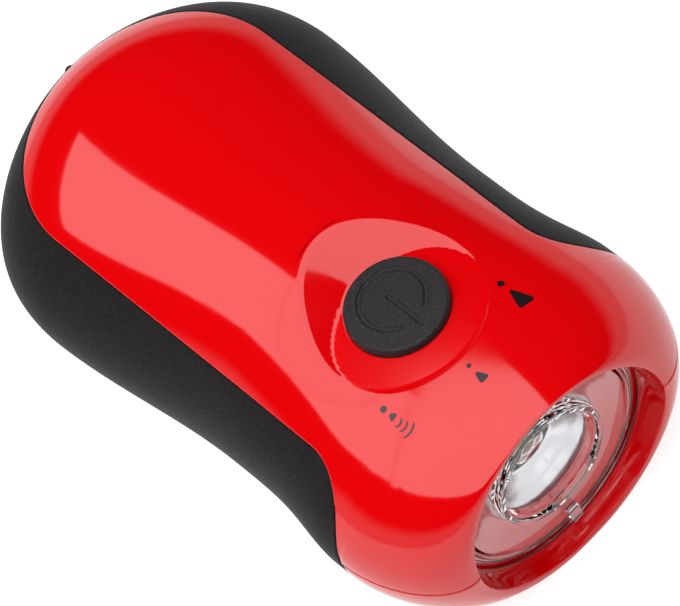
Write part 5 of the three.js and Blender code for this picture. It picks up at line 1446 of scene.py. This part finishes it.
def stadium(x: float, near: float, far: float, radius: float) -> list[Place]:
    """Gives the corners of a round-ended slot along Y."""
    turn = [math.pi * i / 24 for i in range(25)]
    return ([(x + radius * math.cos(t), far + radius * math.sin(t)) for t in turn]
            + [(x - radius * math.cos(t), near - radius * math.sin(t)) for t in turn])


@dataclass
class Moulding:
    """A solid joined and cut from prisms, with its edges rounded."""

    base: Object
    joined: Sequence[Object] = ()
    cuts: Sequence[Object] = ()
    bevel: float = 0.22
    bevel_from_deg: float = 32.0
    sharp_from_deg: float = 28.0

    def mesh(self) -> Mesh:
        """Runs the cuts and rounds the edges.

        Returns:
            The finished mesh, in metres in the row frame.
        """
        for operation, tools in (("UNION", self.joined), ("DIFFERENCE", self.cuts)):
            for tool in tools:
                step = self.base.modifiers.new("cut", "BOOLEAN")
                step.object, step.operation, step.solver = tool, operation, "EXACT"
        rounding = self.base.modifiers.new("edges", "BEVEL")
        rounding.width, rounding.segments = self.bevel, 2
        rounding.limit_method = "ANGLE"
        rounding.angle_limit = math.radians(self.bevel_from_deg)
        rounding.use_clamp_overlap = True
        bpy.context.view_layer.update()
        graph = bpy.context.evaluated_depsgraph_get()
        mesh = bpy.data.meshes.new_from_object(self.base.evaluated_get(graph))
        for scratch in (self.base, *self.joined, *self.cuts):
            bpy.data.objects.remove(scratch)
        mesh.transform(Matrix.Scale(MM, 4) @ Matrix.Translation(Vector(SEAT)))
        mesh.polygons.foreach_set("use_smooth", [True] * len(mesh.polygons))
        mesh.set_sharp_from_angle(angle=math.radians(self.sharp_from_deg))
        mesh.materials.clear()
        return mesh


@dataclass
class PowerButton:
    """The round rubber button with a sunk power mark.

    The mark's ``ring`` has its centre and radius, its ``bar`` a place across and two ends.
    """

    y: float = DISH_Y
    radius: float = 7.62
    top: float = 20.2
    crown: float = 0.15
    edge: float = 0.5
    skirt: float = 16.0
    flange: float = 9.25
    flange_height: float = 0.9
    groove: float = 0.34
    groove_wall: float = 0.22
    depth: float = 0.26
    ring: tuple[float, float, float] = (0.2, 0.85, 4.85)
    gap_deg: float = 28.0
    gap_way_deg: float = -92.0
    bar: tuple[float, float, float] = (0.15, 1.6, -5.1)

    def mark(self, x: Array, y: Array) -> Array:
        """Gives the distance from the centre line of the power mark.

        Args:
            x: Across, from the button's axis.
            y: Along, from the button's axis.

        Returns:
            Distances.
        """
        centre_x, centre_y, radius = self.ring
        dx, dy = x - centre_x, y - centre_y
        way = math.radians(self.gap_way_deg)
        turn = np.abs((np.arctan2(dy, dx) - way + np.pi) % (2 * np.pi) - np.pi)
        gap = math.radians(self.gap_deg)
        on_ring = np.abs(np.hypot(dx, dy) - radius)
        ends = [np.hypot(dx - radius * math.cos(end), dy - radius * math.sin(end))
                for end in (way - gap, way + gap)]
        arc = np.where(turn >= gap, on_ring, np.minimum(*ends))
        bar_x, high, low = self.bar
        bar = np.hypot(x - bar_x, y - np.clip(y, low, high))
        return np.minimum(arc, bar)

    def build(self) -> Object:
        """Builds the button.

        Returns:
            The piece.
        """
        inner = self.radius - self.edge
        rings = np.concatenate([[0.001], np.linspace(0.12, inner, 80)])[:, None]
        angle = np.linspace(0, 2 * np.pi, 288, endpoint=False)
        x, y = rings * np.cos(angle), rings * np.sin(angle)
        past_wall = self.groove + 0.09 - self.mark(x, y)
        sink = smooth(past_wall / self.groove_wall) * self.depth
        face = np.dstack([x, y, self.top + self.crown * (1 - (rings / inner) ** 2) - sink])
        profile = [(inner + self.edge * math.sin(a), self.top - self.edge * (1 - math.cos(a)))
                   for a in np.radians(np.linspace(0, 90, 8))[1:]]
        profile += [(self.radius, self.skirt), (self.flange, self.skirt),
                    (self.flange, self.skirt - self.flange_height)]
        points = np.concatenate([face, level_rings(profile, angle)])
        skin = Skin()
        skin.add(points + np.array([0.0, self.y, 0.0]), outward=np.array([0.0, 0.0, 1.0]),
                 closed=True)
        return skin.build("power_button_rubber", BUTTON_RUBBER, "button", "button_rubber",
                          ("power_button",))


@dataclass
class ModeMarks:
    """Three printed marks round the dish: full light, half light and flashing."""

    form: BodyForm
    lift: float = 0.03
    line_width: float = 0.32

    def laid(self, outline: Array, inner: Array, rings: int = 5) -> tuple[Array, Array]:
        """Lays a flat patch on the shell.

        Args:
            outline: Points round the mark.
            inner: The points that it shrinks to.
            rings: Steps between them.

        Returns:
            Points and normals.
        """
        share = np.linspace(0, 1, rings)[:, None, None]
        plan = inner[None] * (1 - share) + outline[None] * share
        x, y = plan[..., 0], plan[..., 1]
        normals = self.form.top_normals(x, y, 0.02)
        on_shell = np.dstack([x, y, self.form.surface(x, y, Side.TOP)])
        return on_shell + normals * self.lift, normals

    def fan(self, skin: Skin, outline: Array) -> None:
        """Adds a filled mark."""
        ring = np.concatenate([outline, outline[:1]])
        centre = np.repeat(outline.mean(axis=0)[None], len(ring), axis=0)
        skin.add(*self.laid(ring, centre + (ring - centre) * 0.01))

    def dot(self, skin: Skin, x: float, y: float, radius: float) -> None:
        """Adds a round dot."""
        self.fan(skin, np.array(circle(x, y, radius, 40)))

    def wedge(self, skin: Skin, corners: Outline, radius: float) -> None:
        """Adds a rounded triangle."""
        loop = [corners[-1], *corners, corners[0]]
        rounded = filleted(loop, radius, 5)[1:-1]
        self.fan(skin, rounded)

    def stroke(self, skin: Skin, left: Place, right: Place, sag: float, width: float) -> None:
        """Adds a bent line with round ends."""
        share = np.linspace(0, 1, 25)
        x = left[0] + (right[0] - left[0]) * share
        y = left[1] + (right[1] - left[1]) * share - sag * 4 * share * (1 - share)
        half = width / 2 * np.sqrt(np.clip(1 - (2 * share - 1) ** 8, 0, 1))
        one, two = np.stack([x, y - half], axis=-1), np.stack([x, y + half], axis=-1)
        skin.add(*self.laid(one, two, 4))

    def build(self) -> Object:
        """Builds the three marks as one piece.

        Returns:
            The piece.
        """
        skin = Skin()
        for (x, y, radius), corners, rounding in (
                ((11.8, -31.2, 0.53), [(11.8, -32.3), (13.35, -36.5), (10.45, -36.5)], 0.5),
                ((-0.5, -37.7, 0.34), [(-0.7, -38.7), (0.3, -41.1), (-1.5, -41.1)], 0.4),
                ((-12.2, -31.7, 0.5), [(-12.2, -32.7), (-11.4, -34.0), (-13.0, -34.0)], 0.35)):
            self.dot(skin, x, y, radius)
            self.wedge(skin, corners, rounding)
        for left, right, y, sag in ((-13.1, -11.6, -34.8, 0.38), (-13.2, -11.4, -35.8, 0.42),
                                    (-13.6, -11.0, -36.8, 0.45)):
            self.stroke(skin, (left, y), (right, y), sag, self.line_width)
        return skin.build("mode_marks", PRINTED_INK, "housing", "black_plastic")


@dataclass
class LampUnit:
    """Clear lens with its collimator, the reflector bowl behind it and the LED."""

    front: float = -46.6
    back: float = -44.7
    radius: float = 18.4
    collimator: float = 9.8
    rim: float = 9.05
    bowl: float = -42.6
    board_y: float = -36.8

    def lens(self) -> Object:
        """Builds the lens: stepped edge ring, plain annulus, raised collimator."""
        front, back, collimator = self.front, self.back, self.collimator
        bowl = curve_through([(0.0, self.bowl), (2.6, self.bowl - 0.25), (5.2, self.bowl - 1.0),
                              (7.4, self.bowl - 2.2), (8.6, front + 0.45)], 6)
        ridges = curve_through([(15.4, front + 0.9), (15.9, front + 1.25), (16.25, front + 1.1),
                                (16.6, front + 1.35), (16.95, front + 1.2), (17.3, front + 1.5)], 5)
        profile = [*bowl, (self.rim - 0.1, front - 0.35), (collimator - 0.1, front - 0.35),
                   (collimator + 0.15, front + 0.95), (13.0, front + 0.85), *ridges,
                   (self.radius, front + 1.5), (self.radius, back), (16.0, back),
                   (collimator, back + 0.95), (7.6, back + 3.6), (4.6, -38.2), (3.2, -38.2),
                   (3.2, -40.4), (2.4, -41.4), (1.2, -41.75), (0.0, -41.8)]
        return Turned(profile, Axis.ALONG_Y, fillet=0.14, sides=160).build(
            "lens_clear", LENS_ACRYLIC, "housing", "lens", ("lens",))

    def tab(self) -> Object:
        """Builds the small locating tab at the lens's lower edge."""
        base = raw_prism(box(-0.95, 0.95, -15.8, -13.1), self.front - 0.45, self.front + 1.0,
                         Axis.ALONG_Y)
        mesh = Moulding(base, bevel=0.18).mesh()
        return placed(mesh, "lens_tab", LENS_ACRYLIC, "housing")

    def surround(self) -> Object:
        """Builds the red ring that shows through the clear flange."""
        ring = [(10.3, -43.6), (15.0, -44.45), (18.3, -44.66), (18.3, -44.56), (15.0, -44.37),
                (10.3, -43.3), (10.3, -43.6)]
        return Turned(ring, Axis.ALONG_Y, fillet=0.02, sides=128).build(
            "lamp_surround_ring", RED_SHELL, "housing", "red_shell")

    def reflector(self) -> Object:
        """Builds the metallised bowl."""
        inside = curve_through([(15.2, -44.35), (14.2, -43.8), (11.4, -41.7), (8.4, -39.5),
                                (6.1, -38.2), (5.15, -37.95)], 6)
        outside = [(5.15, -37.15), (6.4, -37.15), (8.8, -38.6), (11.8, -40.8), (14.9, -43.2),
                   (16.0, -43.6), (16.0, -44.35)]
        ring = [*inside, *outside, inside[0]]
        return Turned(ring, Axis.ALONG_Y, fillet=0.08, sides=128).build(
            "reflector_bright", REFLECTOR_METAL, "housing", "reflector", ("reflector",))

    def led(self) -> None:
        """Builds the LED's clear dome over its pale ceramic body."""
        base, radius = self.board_y - 0.3, 2.5
        dome = [(radius * math.sin(a), base - 1.9 - radius * math.cos(a))
                for a in np.radians(np.linspace(0, 90, 12))]
        body = [*dome, (radius, base - 1.0), (2.9, base - 1.0), (2.9, base), (0.0, base)]
        Turned(body, Axis.ALONG_Y, fillet=0.08, sides=72).build(
            "led_dome", LED_EPOXY, "housing", "led_epoxy", ("led",))
        cup = [(0.0, base - 1.5), (0.9, base - 1.5), (1.5, base - 2.1), (1.8, base - 2.1),
               (1.8, base - 0.3), (0.0, base - 0.3)]
        Turned(cup, Axis.ALONG_Y, fillet=0.06, sides=64).build(
            "led_cup", LED_CERAMIC, "housing", "led_epoxy")

    def build(self) -> None:
        """Builds the whole lamp."""
        self.lens()
        self.tab()
        self.surround()
        self.reflector()
        self.led()


@dataclass
class Screw:
    """A pan-head screw with a cross recess, whose head looks down."""

    head_radius: float = 2.35
    head: float = 1.5
    shank: float = 1.0
    recess_width: float = 0.62
    recess_span: float = 1.35
    recess_depth: float = 0.95
    recess_wall: float = 0.22
    face_crown: float = 0.32
    tip: float = 0.4

    def build(self, name: str, node: str, body: str, x: float, y: float, low: float,
              high: float) -> Object:
        """Builds one screw at a place.

        Args:
            name: The piece's name.
            node: The CAD node that it replaces.
            body: The body that it rides on.
            x: Across.
            y: Along.
            low: Height of the head's face.
            high: Height of the shank's tip.

        Returns:
            The piece.
        """
        top, face_radius = low + self.head, self.head_radius * 0.93
        rings = np.concatenate([[0.001], np.linspace(0.1, face_radius, 26)])[:, None]
        angle = np.linspace(0, 2 * np.pi, 96, endpoint=False)
        a, b = rings * np.cos(angle), rings * np.sin(angle)
        half, span = self.recess_width / 2, self.recess_span
        arm = np.minimum(np.maximum(np.abs(a) - half, np.abs(b) - span),
                         np.maximum(np.abs(b) - half, np.abs(a) - span))
        shallower = (1 - 0.35 * rings / span).clip(0.3, 1)
        sink = smooth(-arm / self.recess_wall + 0.4) * self.recess_depth * shallower
        dome = low + self.face_crown * (rings / self.head_radius) ** 2 + sink
        profile = filleted([(face_radius, dome[-1, 0]), (self.head_radius, low + 0.55),
                            (self.head_radius, top), (self.shank, top),
                            (self.shank, high - self.tip), (self.tip, high)], 0.15)[1:]
        points = np.concatenate([np.dstack([a, b, dome]), level_rings(profile, angle)])
        skin = Skin()
        skin.add(points + np.array([x, y, 0.0]), outward=points - np.array([0.0, 0.0, top]),
                 closed=True)
        return skin.build(name, STEEL, body, "steel", (node,))


@dataclass
class CrankUnit:
    """Turntable, folding arm and knob on the underside."""

    y: float = CRANK_Y
    radius: float = 18.5
    low: float = -19.3
    floor: float = -12.5
    top: float = -10.0
    below: float = -22.0
    hinge: Place = (16.5, -17.8)
    hinge_bore: float = 0.95
    knob_y: float = -9.5
    pocket_shift: float = 1.1
    arm_low: float = -15.7
    arm_high: float = -12.9

    def shifted(self, outline: Outline) -> list[Place]:
        """Moves an outline from the crank's axis to its place."""
        return [(x, y + self.y) for x, y in outline]

    def column(self, outline: Outline, low: float, high: float) -> Object:
        """Makes a scratch prism from an outline round the crank's axis."""
        return raw_prism(self.shifted(outline), low, high)

    def round_bar(self, y: float, z: float, radius: float, half: float, sides: int) -> Object:
        """Makes a scratch cylinder across the torch, by its place behind the crank's axis."""
        return raw_prism(circle(self.y + y, z, radius, sides), -half, half, Axis.ALONG_X)

    def knob_pocket(self, radius: float, low: float, high: float) -> Object:
        """Makes a scratch prism of the pocket that the folded knob sits in."""
        slot = stadium(0.0, self.knob_y - self.pocket_shift, self.knob_y, radius)
        return self.column(slot, low, high)

    def disc(self) -> Object:
        """Builds the turntable: rim, sunk floor, hinge lugs and knob pocket.

        Returns:
            The piece.
        """
        lug_half, lug_near, rim = 7.1, 14.9, self.radius - 0.02
        reach = math.asin(lug_half / rim)
        arc = [(rim * math.sin(t), rim * math.cos(t)) for t in np.linspace(-reach, reach, 17)]
        joined = self.floor + 0.1
        lugs = self.column([(lug_half, lug_near), (-lug_half, lug_near), *arc], self.low, -11.3)
        cup = self.knob_pocket(6.7, joined, -3.8)
        hub = self.column(circle(0, 0, 4.2), joined, -7.0)
        cuts = [
            self.column(box(-4.3, 4.3, 2.0, 21.0), self.below, self.floor),
            self.round_bar(*self.hinge, self.hinge_bore, 6.6, 24),
            self.knob_pocket(5.7, self.below, -4.8),
            self.column(circle(0, 0, 2.9, 48), self.below, -11.5),
            self.column(circle(0, 0, 1.15, 24), self.below, -6.0),
        ]
        base = self.column(circle(0, 0, self.radius, 128), self.low, self.top)
        well = self.column(circle(0, 0, self.radius - 2.1, 128), self.below, self.floor)
        dished = Moulding(base, (), (well,), bevel=0.0001).mesh()
        dished.transform(Matrix.Translation(Vector(-SEAT)) @ Matrix.Scale(1 / MM, 4))
        again = bpy.data.objects.new("scratch", dished)
        bpy.context.scene.collection.objects.link(again)
        mesh = Moulding(again, (lugs, hub, cup), cuts, 0.25).mesh()
        return placed(mesh, "crank_turntable", BLACK_ABS, "crank", ("crank_disc",))

    def arm(self) -> Object:
        """Builds the folding arm with its barrel, thumb scoop and sunk ribbed panel.

        Returns:
            The piece.
        """
        half, tip, root, wide = 4.0, 5.0, 16.87, 10.0
        turn = [math.pi + math.pi * i / 32 for i in range(33)]
        plan = [(half, root), (-half, root), (-half, wide)]
        plan += [(tip * math.cos(t), self.knob_y + tip * math.sin(t)) for t in turn]
        plate = self.column([*plan, (half, wide)], self.arm_low, self.arm_high)
        neck = self.column(box(-half, half, root - 2.0, root), self.hinge[1], self.arm_high - 0.01)
        barrel = self.round_bar(*self.hinge, 1.5, half - 0.01, 40)
        scoop = self.round_bar(self.knob_y + tip, self.arm_low - 5.2, 6.0, 8.0, 96)
        hole = self.column(circle(0, self.knob_y, 1.3, 32), -18.0, -10.0)
        bore = self.round_bar(*self.hinge, self.hinge_bore, 8.0, 24)
        panels = [self.column(box(-2.6, 2.6, y, y + 1.7), self.arm_low - 1.0, self.arm_low + 0.5)
                  for y in (2.4, 4.9, 7.4, 9.9, 12.4)]
        mesh = Moulding(plate, (neck, barrel), (scoop, hole, bore, *panels), 0.2).mesh()
        return placed(mesh, "crank_arm_ribbed", BLACK_ABS, "arm", ("crank_arm",))

    def knob(self) -> None:
        """Builds the fluted knob and the pin that it turns on."""
        low, top = -12.6, -5.7
        place = (0.0, self.y + self.knob_y, 0.0)
        profile = [(1.3, low), (4.2, low), (4.8, low + 0.6), (4.8, low + 1.2), (4.15, low + 2.6),
                   (3.9, low + 3.6), (4.0, top - 0.6), (3.4, top), (2.5, top), (2.5, top - 1.1),
                   (1.3, top - 1.1), (1.3, low)]
        Turned(profile, centre=place, fillet=0.18, sides=144, flutes=18, flute_depth=0.16,
               flute_span=(low + 1.3, top - 0.5)).build(
            "crank_knob_fluted", BLACK_ABS, "knob", "black_plastic", ("crank_knob",))
        pin = [(0.0, self.arm_low + 0.2), (1.1, self.arm_low + 0.2), (1.1, top - 0.8),
               (2.2, top - 0.8), (2.2, top - 0.2), (1.6, top), (0.0, top)]
        Turned(pin, centre=place, fillet=0.12, sides=64).build(
            "knob_pin_turned", STEEL, "arm", "steel", ("knob_pin",))

    def pins(self) -> None:
        """Builds the hinge pin and the crank's screw."""
        y, z = self.y + self.hinge[0], self.hinge[1]
        pin = [(0.0, -5.7), (0.6, -5.7), (0.75, -5.5), (0.75, 5.5), (0.6, 5.7), (0.0, 5.7)]
        Turned(pin, Axis.ALONG_X, (0.0, y, z), 0.05, 40).build(
            "hinge_pin_turned", STEEL, "crank", "steel", ("hinge_pin",))
        screw = Screw(head_radius=2.6, head=0.68, shank=0.85, recess_width=0.6, recess_span=1.3,
                      recess_depth=0.5)
        screw.build("crank_screw_cross", "crank_screw", "crank", 0.0, self.y, -12.28, -6.6)

    def build(self) -> None:
        """Builds the whole crank."""
        self.disc()
        self.arm()
        self.knob()
        self.pins()


@dataclass
class CrankFoot:
    """The round foot of the bottom shell that the turntable sits in."""

    y: float = CRANK_Y
    well: float = 19.1
    foot: float = 21.3
    flare: float = 2.0
    height: float = 10.6
    kept_share: float = 0.62
    flat: float = UNDERSIDE
    side: float = BAND_HALF - 0.08

    def build(self) -> Object:
        """Builds the foot as a turned collar cut flat at the band.

        Returns:
            The piece.
        """
        profile = [(self.well, self.flat + self.height - 0.1), (self.well, self.flat),
                   (self.foot, self.flat), (self.foot + self.flare * self.kept_share,
                                            self.flat + self.height * self.kept_share)]
        turned = Turned(profile, centre=(0.0, self.y, 0.0), fillet=0.35, sides=180)
        points = turned.points()
        normals = unit(cell_normals(points, closed=True))
        if normals[len(normals) // 2 - 1, 0, 2] > 0:
            normals = -normals
        over = np.abs(points[..., 0]) > self.side
        points[..., 0] = np.clip(points[..., 0], -self.side, self.side)
        normals[over] = np.sign(points[over][:, :1]) * np.array([1.0, 0.0, 0.0])
        skin = Skin()
        skin.add(points, normals, closed=True)
        return skin.build("crank_foot", RED_SHELL, "housing", "red_shell")


@dataclass
class Studio:
    """Camera, lamps, floor and surroundings.

    The camera stands where the photograph's did, worked out from the outline, seams, lens and
    button.  Angles are in degrees.  The camera's lengths and the gap under the torch are in
    millimetres, and the sizes of the lamps and the floor in metres.
    """

    azimuth: float = -19.594
    elevation: float = 56.128
    roll: float = 29.072
    distance: float = 722.6
    focal: float = 267.7
    sensor: float = 36.0
    aside: Place = (2.23, -1.94)
    softbox_height: float = 1.03
    softbox_radiance: float = 2.3
    floor_half: float = 6.0
    floor_gap: float = 0.05

    def axes(self) -> tuple[Array, Array, Array]:
        """Gives the camera's right, up and back directions."""
        a, e, r = (math.radians(v) for v in (self.azimuth, self.elevation, self.roll))
        back = np.array([math.sin(a) * math.cos(e), -math.cos(a) * math.cos(e), math.sin(e)])
        right = np.array([math.cos(a), math.sin(a), 0.0])
        up = np.cross(back, right)
        return (math.cos(r) * right - math.sin(r) * up,
                math.sin(r) * right + math.cos(r) * up, back)

    def camera(self) -> None:
        """Creates the camera at the photograph's viewpoint."""
        right, up, back = self.axes()
        data = bpy.data.cameras.new("studio_camera")
        data.lens, data.sensor_width = self.focal, self.sensor
        data.clip_start, data.clip_end = 0.05, 50.0
        made = bpy.data.objects.new("studio_camera", data)
        place = (back * self.distance + right * self.aside[0] + up * self.aside[1] + SEAT) * MM
        turn = Matrix((right, up, back)).transposed().to_4x4()
        made.matrix_world = Matrix.Translation(Vector(place)) @ turn
        bpy.context.scene.collection.objects.link(made)
        bpy.context.scene.camera = made

    def softbox(self, name: str, across: Place, along: Place) -> None:
        """Hangs a level softbox over the torch.

        Args:
            name: Its name.
            across: Where it starts and ends along X, in metres.
            along: Where it starts and ends along Y, in metres.
        """
        data = bpy.data.lights.new(name, "AREA")
        data.shape = "RECTANGLE"
        data.size, data.size_y = across[1] - across[0], along[1] - along[0]
        data.energy = self.softbox_radiance * math.pi * data.size * data.size_y
        made = bpy.data.objects.new(name, data)
        made.location = (sum(across) / 2, sum(along) / 2, self.softbox_height)
        bpy.context.scene.collection.objects.link(made)

    def world(self) -> None:
        """Sets the surroundings: white to the camera, white low down and dim overhead in gloss."""
        world = bpy.data.worlds.new("studio")
        bpy.context.scene.world = world
        world.use_nodes = True
        tree = world.node_tree
        tree.nodes.clear()
        path = add_node(tree, "LightPath")
        place = add_node(tree, "TexCoord").outputs["Generated"]
        height = add_node(tree, "SeparateXYZ", {}, {"Vector": place}).outputs["Z"]
        in_gloss = add_node(tree, "MapRange", {
            "interpolation_type": "SMOOTHSTEP", "From Min": 0.12, "From Max": 0.3,
            "To Min": 0.62, "To Max": 0.02}, {"Value": height})
        soft = add_node(tree, "Mix", {"data_type": "FLOAT"}, {
            0: path.outputs["Is Glossy Ray"], 3: in_gloss.outputs["Result"]})
        soft.inputs[2].default_value = 0.15
        clear = add_node(tree, "Math", {"operation": "MAXIMUM"}, {
            0: path.outputs["Is Camera Ray"], 1: path.outputs["Is Transmission Ray"]})
        strength = add_node(tree, "Mix", {"data_type": "FLOAT"}, {
            0: clear.outputs["Value"], 2: soft.outputs[0]})
        strength.inputs[3].default_value = 1.0
        sky = add_node(tree, "Background", {"Color": linear("ffffff")},
                       {"Strength": strength.outputs[0]})
        add_node(tree, "OutputWorld", {}, {"Surface": sky.outputs["Background"]})

    def floor(self) -> None:
        """Lays the floor just under the torch."""
        mesh = bpy.data.meshes.new("studio_floor")
        half = self.floor_half
        mesh.from_pydata([(x, y, -self.floor_gap * MM) for x, y in box(-half, half, -half, half)],
                         [], [(0, 1, 2, 3)])
        made = bpy.data.objects.new("studio_floor", mesh)
        bpy.context.scene.collection.objects.link(made)
        mesh.materials.append(self.paper())

    def paper(self) -> Material:
        """Makes the floor's material.

        Returns:
            Pale paper, white with a soft shadow, and clear when it is seen from below.
        """
        material = bpy.data.materials.new("pale_paper")
        material.use_nodes = True
        tree = material.node_tree
        tree.nodes.clear()
        matt = add_node(tree, "BsdfDiffuse", {"Color": (0.86, 0.86, 0.86, 1.0)})
        faint = add_node(tree, "BsdfDiffuse", {"Color": (0.4, 0.4, 0.4, 1.0)})
        glow = add_node(tree, "Emission", {"Color": linear("ffffff"), "Strength": 0.82})
        path = add_node(tree, "LightPath")
        seen = add_node(tree, "Math", {"operation": "MAXIMUM"}, {
            0: path.outputs["Is Camera Ray"], 1: path.outputs["Is Glossy Ray"]})
        shown = add_node(tree, "Math", {"operation": "MAXIMUM"}, {
            0: seen.outputs["Value"], 1: path.outputs["Is Transmission Ray"]})
        lit = add_node(tree, "AddShader", {}, {
            0: faint.outputs["BSDF"], 1: glow.outputs["Emission"]})
        mix = add_node(tree, "MixShader", {}, {0: shown.outputs["Value"], 1: matt.outputs["BSDF"],
                                               2: lit.outputs["Shader"]})
        below = add_node(tree, "NewGeometry").outputs["Backfacing"]
        clear = add_node(tree, "BsdfTransparent")
        sided = add_node(tree, "MixShader", {}, {0: below, 1: mix.outputs["Shader"],
                                                 2: clear.outputs["BSDF"]})
        add_node(tree, "OutputMaterial", {}, {"Surface": sided.outputs["Shader"]})
        return material

    def build(self) -> None:
        """Sets up the whole studio."""
        bpy.context.scene.view_settings.view_transform = "Standard"
        self.camera()
        self.world()
        self.floor()
        for name, across, along in (("overhead", (-1.25, 0.42), (-0.45, 0.545)),
                                    ("front_left", (-1.25, -0.31), (-0.9, -0.45)),
                                    ("front_right", (-0.14, 0.42), (-0.9, -0.45)),
                                    ("behind", (-1.18, -0.2), (0.55, 1.15))):
            self.softbox("softbox_" + name, across, along)


def dress_frame() -> None:
    """Gives every CAD node that still shows its own finish."""
    slots = {part["node"]: part["material_slot"] for part in frame["record"]["subparts"]}
    for name, node in frame["nodes"].items():
        node.data.materials.clear()
        node.data.materials.append(PAINTS.get(SLOT_FINISHES[slots[name]]))
        LOG.info("frame node %s wears %s", name, slots[name])


def main() -> None:
    """Builds the sub-assemblies in order and sets the scene."""
    logging.basicConfig(level=logging.INFO, format="%(message)s")
    form, seam = BodyForm(), Seam()
    dress_frame()
    button_bore = RoundHole(0.0, DISH_Y, radius=7.92, cells=20, step=ROW_STEP, rings=17, fade=12,
                            contour=form.pad_edge)
    RedShell(form, seam, Side.TOP, [button_bore], [16.0]).build("top_shell_gloss", "top_shell")
    wells = [RoundHole(x, y, radius=2.7, cells=6, step=0.42, rings=1, fade=4)
             for x, y in SHELL_SCREWS]
    RedShell(form, seam, Side.BOTTOM, wells, [-13.3] * len(wells), clear_radius=20.4).build(
        "bottom_shell_gloss", "bottom_shell")
    CrankFoot().build()
    GripBand(form, seam).build()
    PowerButton().build()
    ModeMarks(form).build()
    LampUnit().build()
    CrankUnit().build()
    for i, (x, y) in enumerate(SHELL_SCREWS, 1):
        Screw().build(f"shell_screw_cross_{i}", f"shell_screw_{i}", "housing", x, y, -14.9, 8.0)
    pin = [(0.0, -6.2), (0.9, -6.2), (0.9, 12.15), (0.65, 12.4), (0.0, 12.4)]
    Turned(pin, centre=(0.0, 50.3, 0.0), fillet=0.1, sides=48).build(
        "lanyard_pin_turned", BLACK_ABS, "housing", "black_plastic", ("lanyard_pin",))
    Studio().build()


if __name__ == "__main__":
    main()
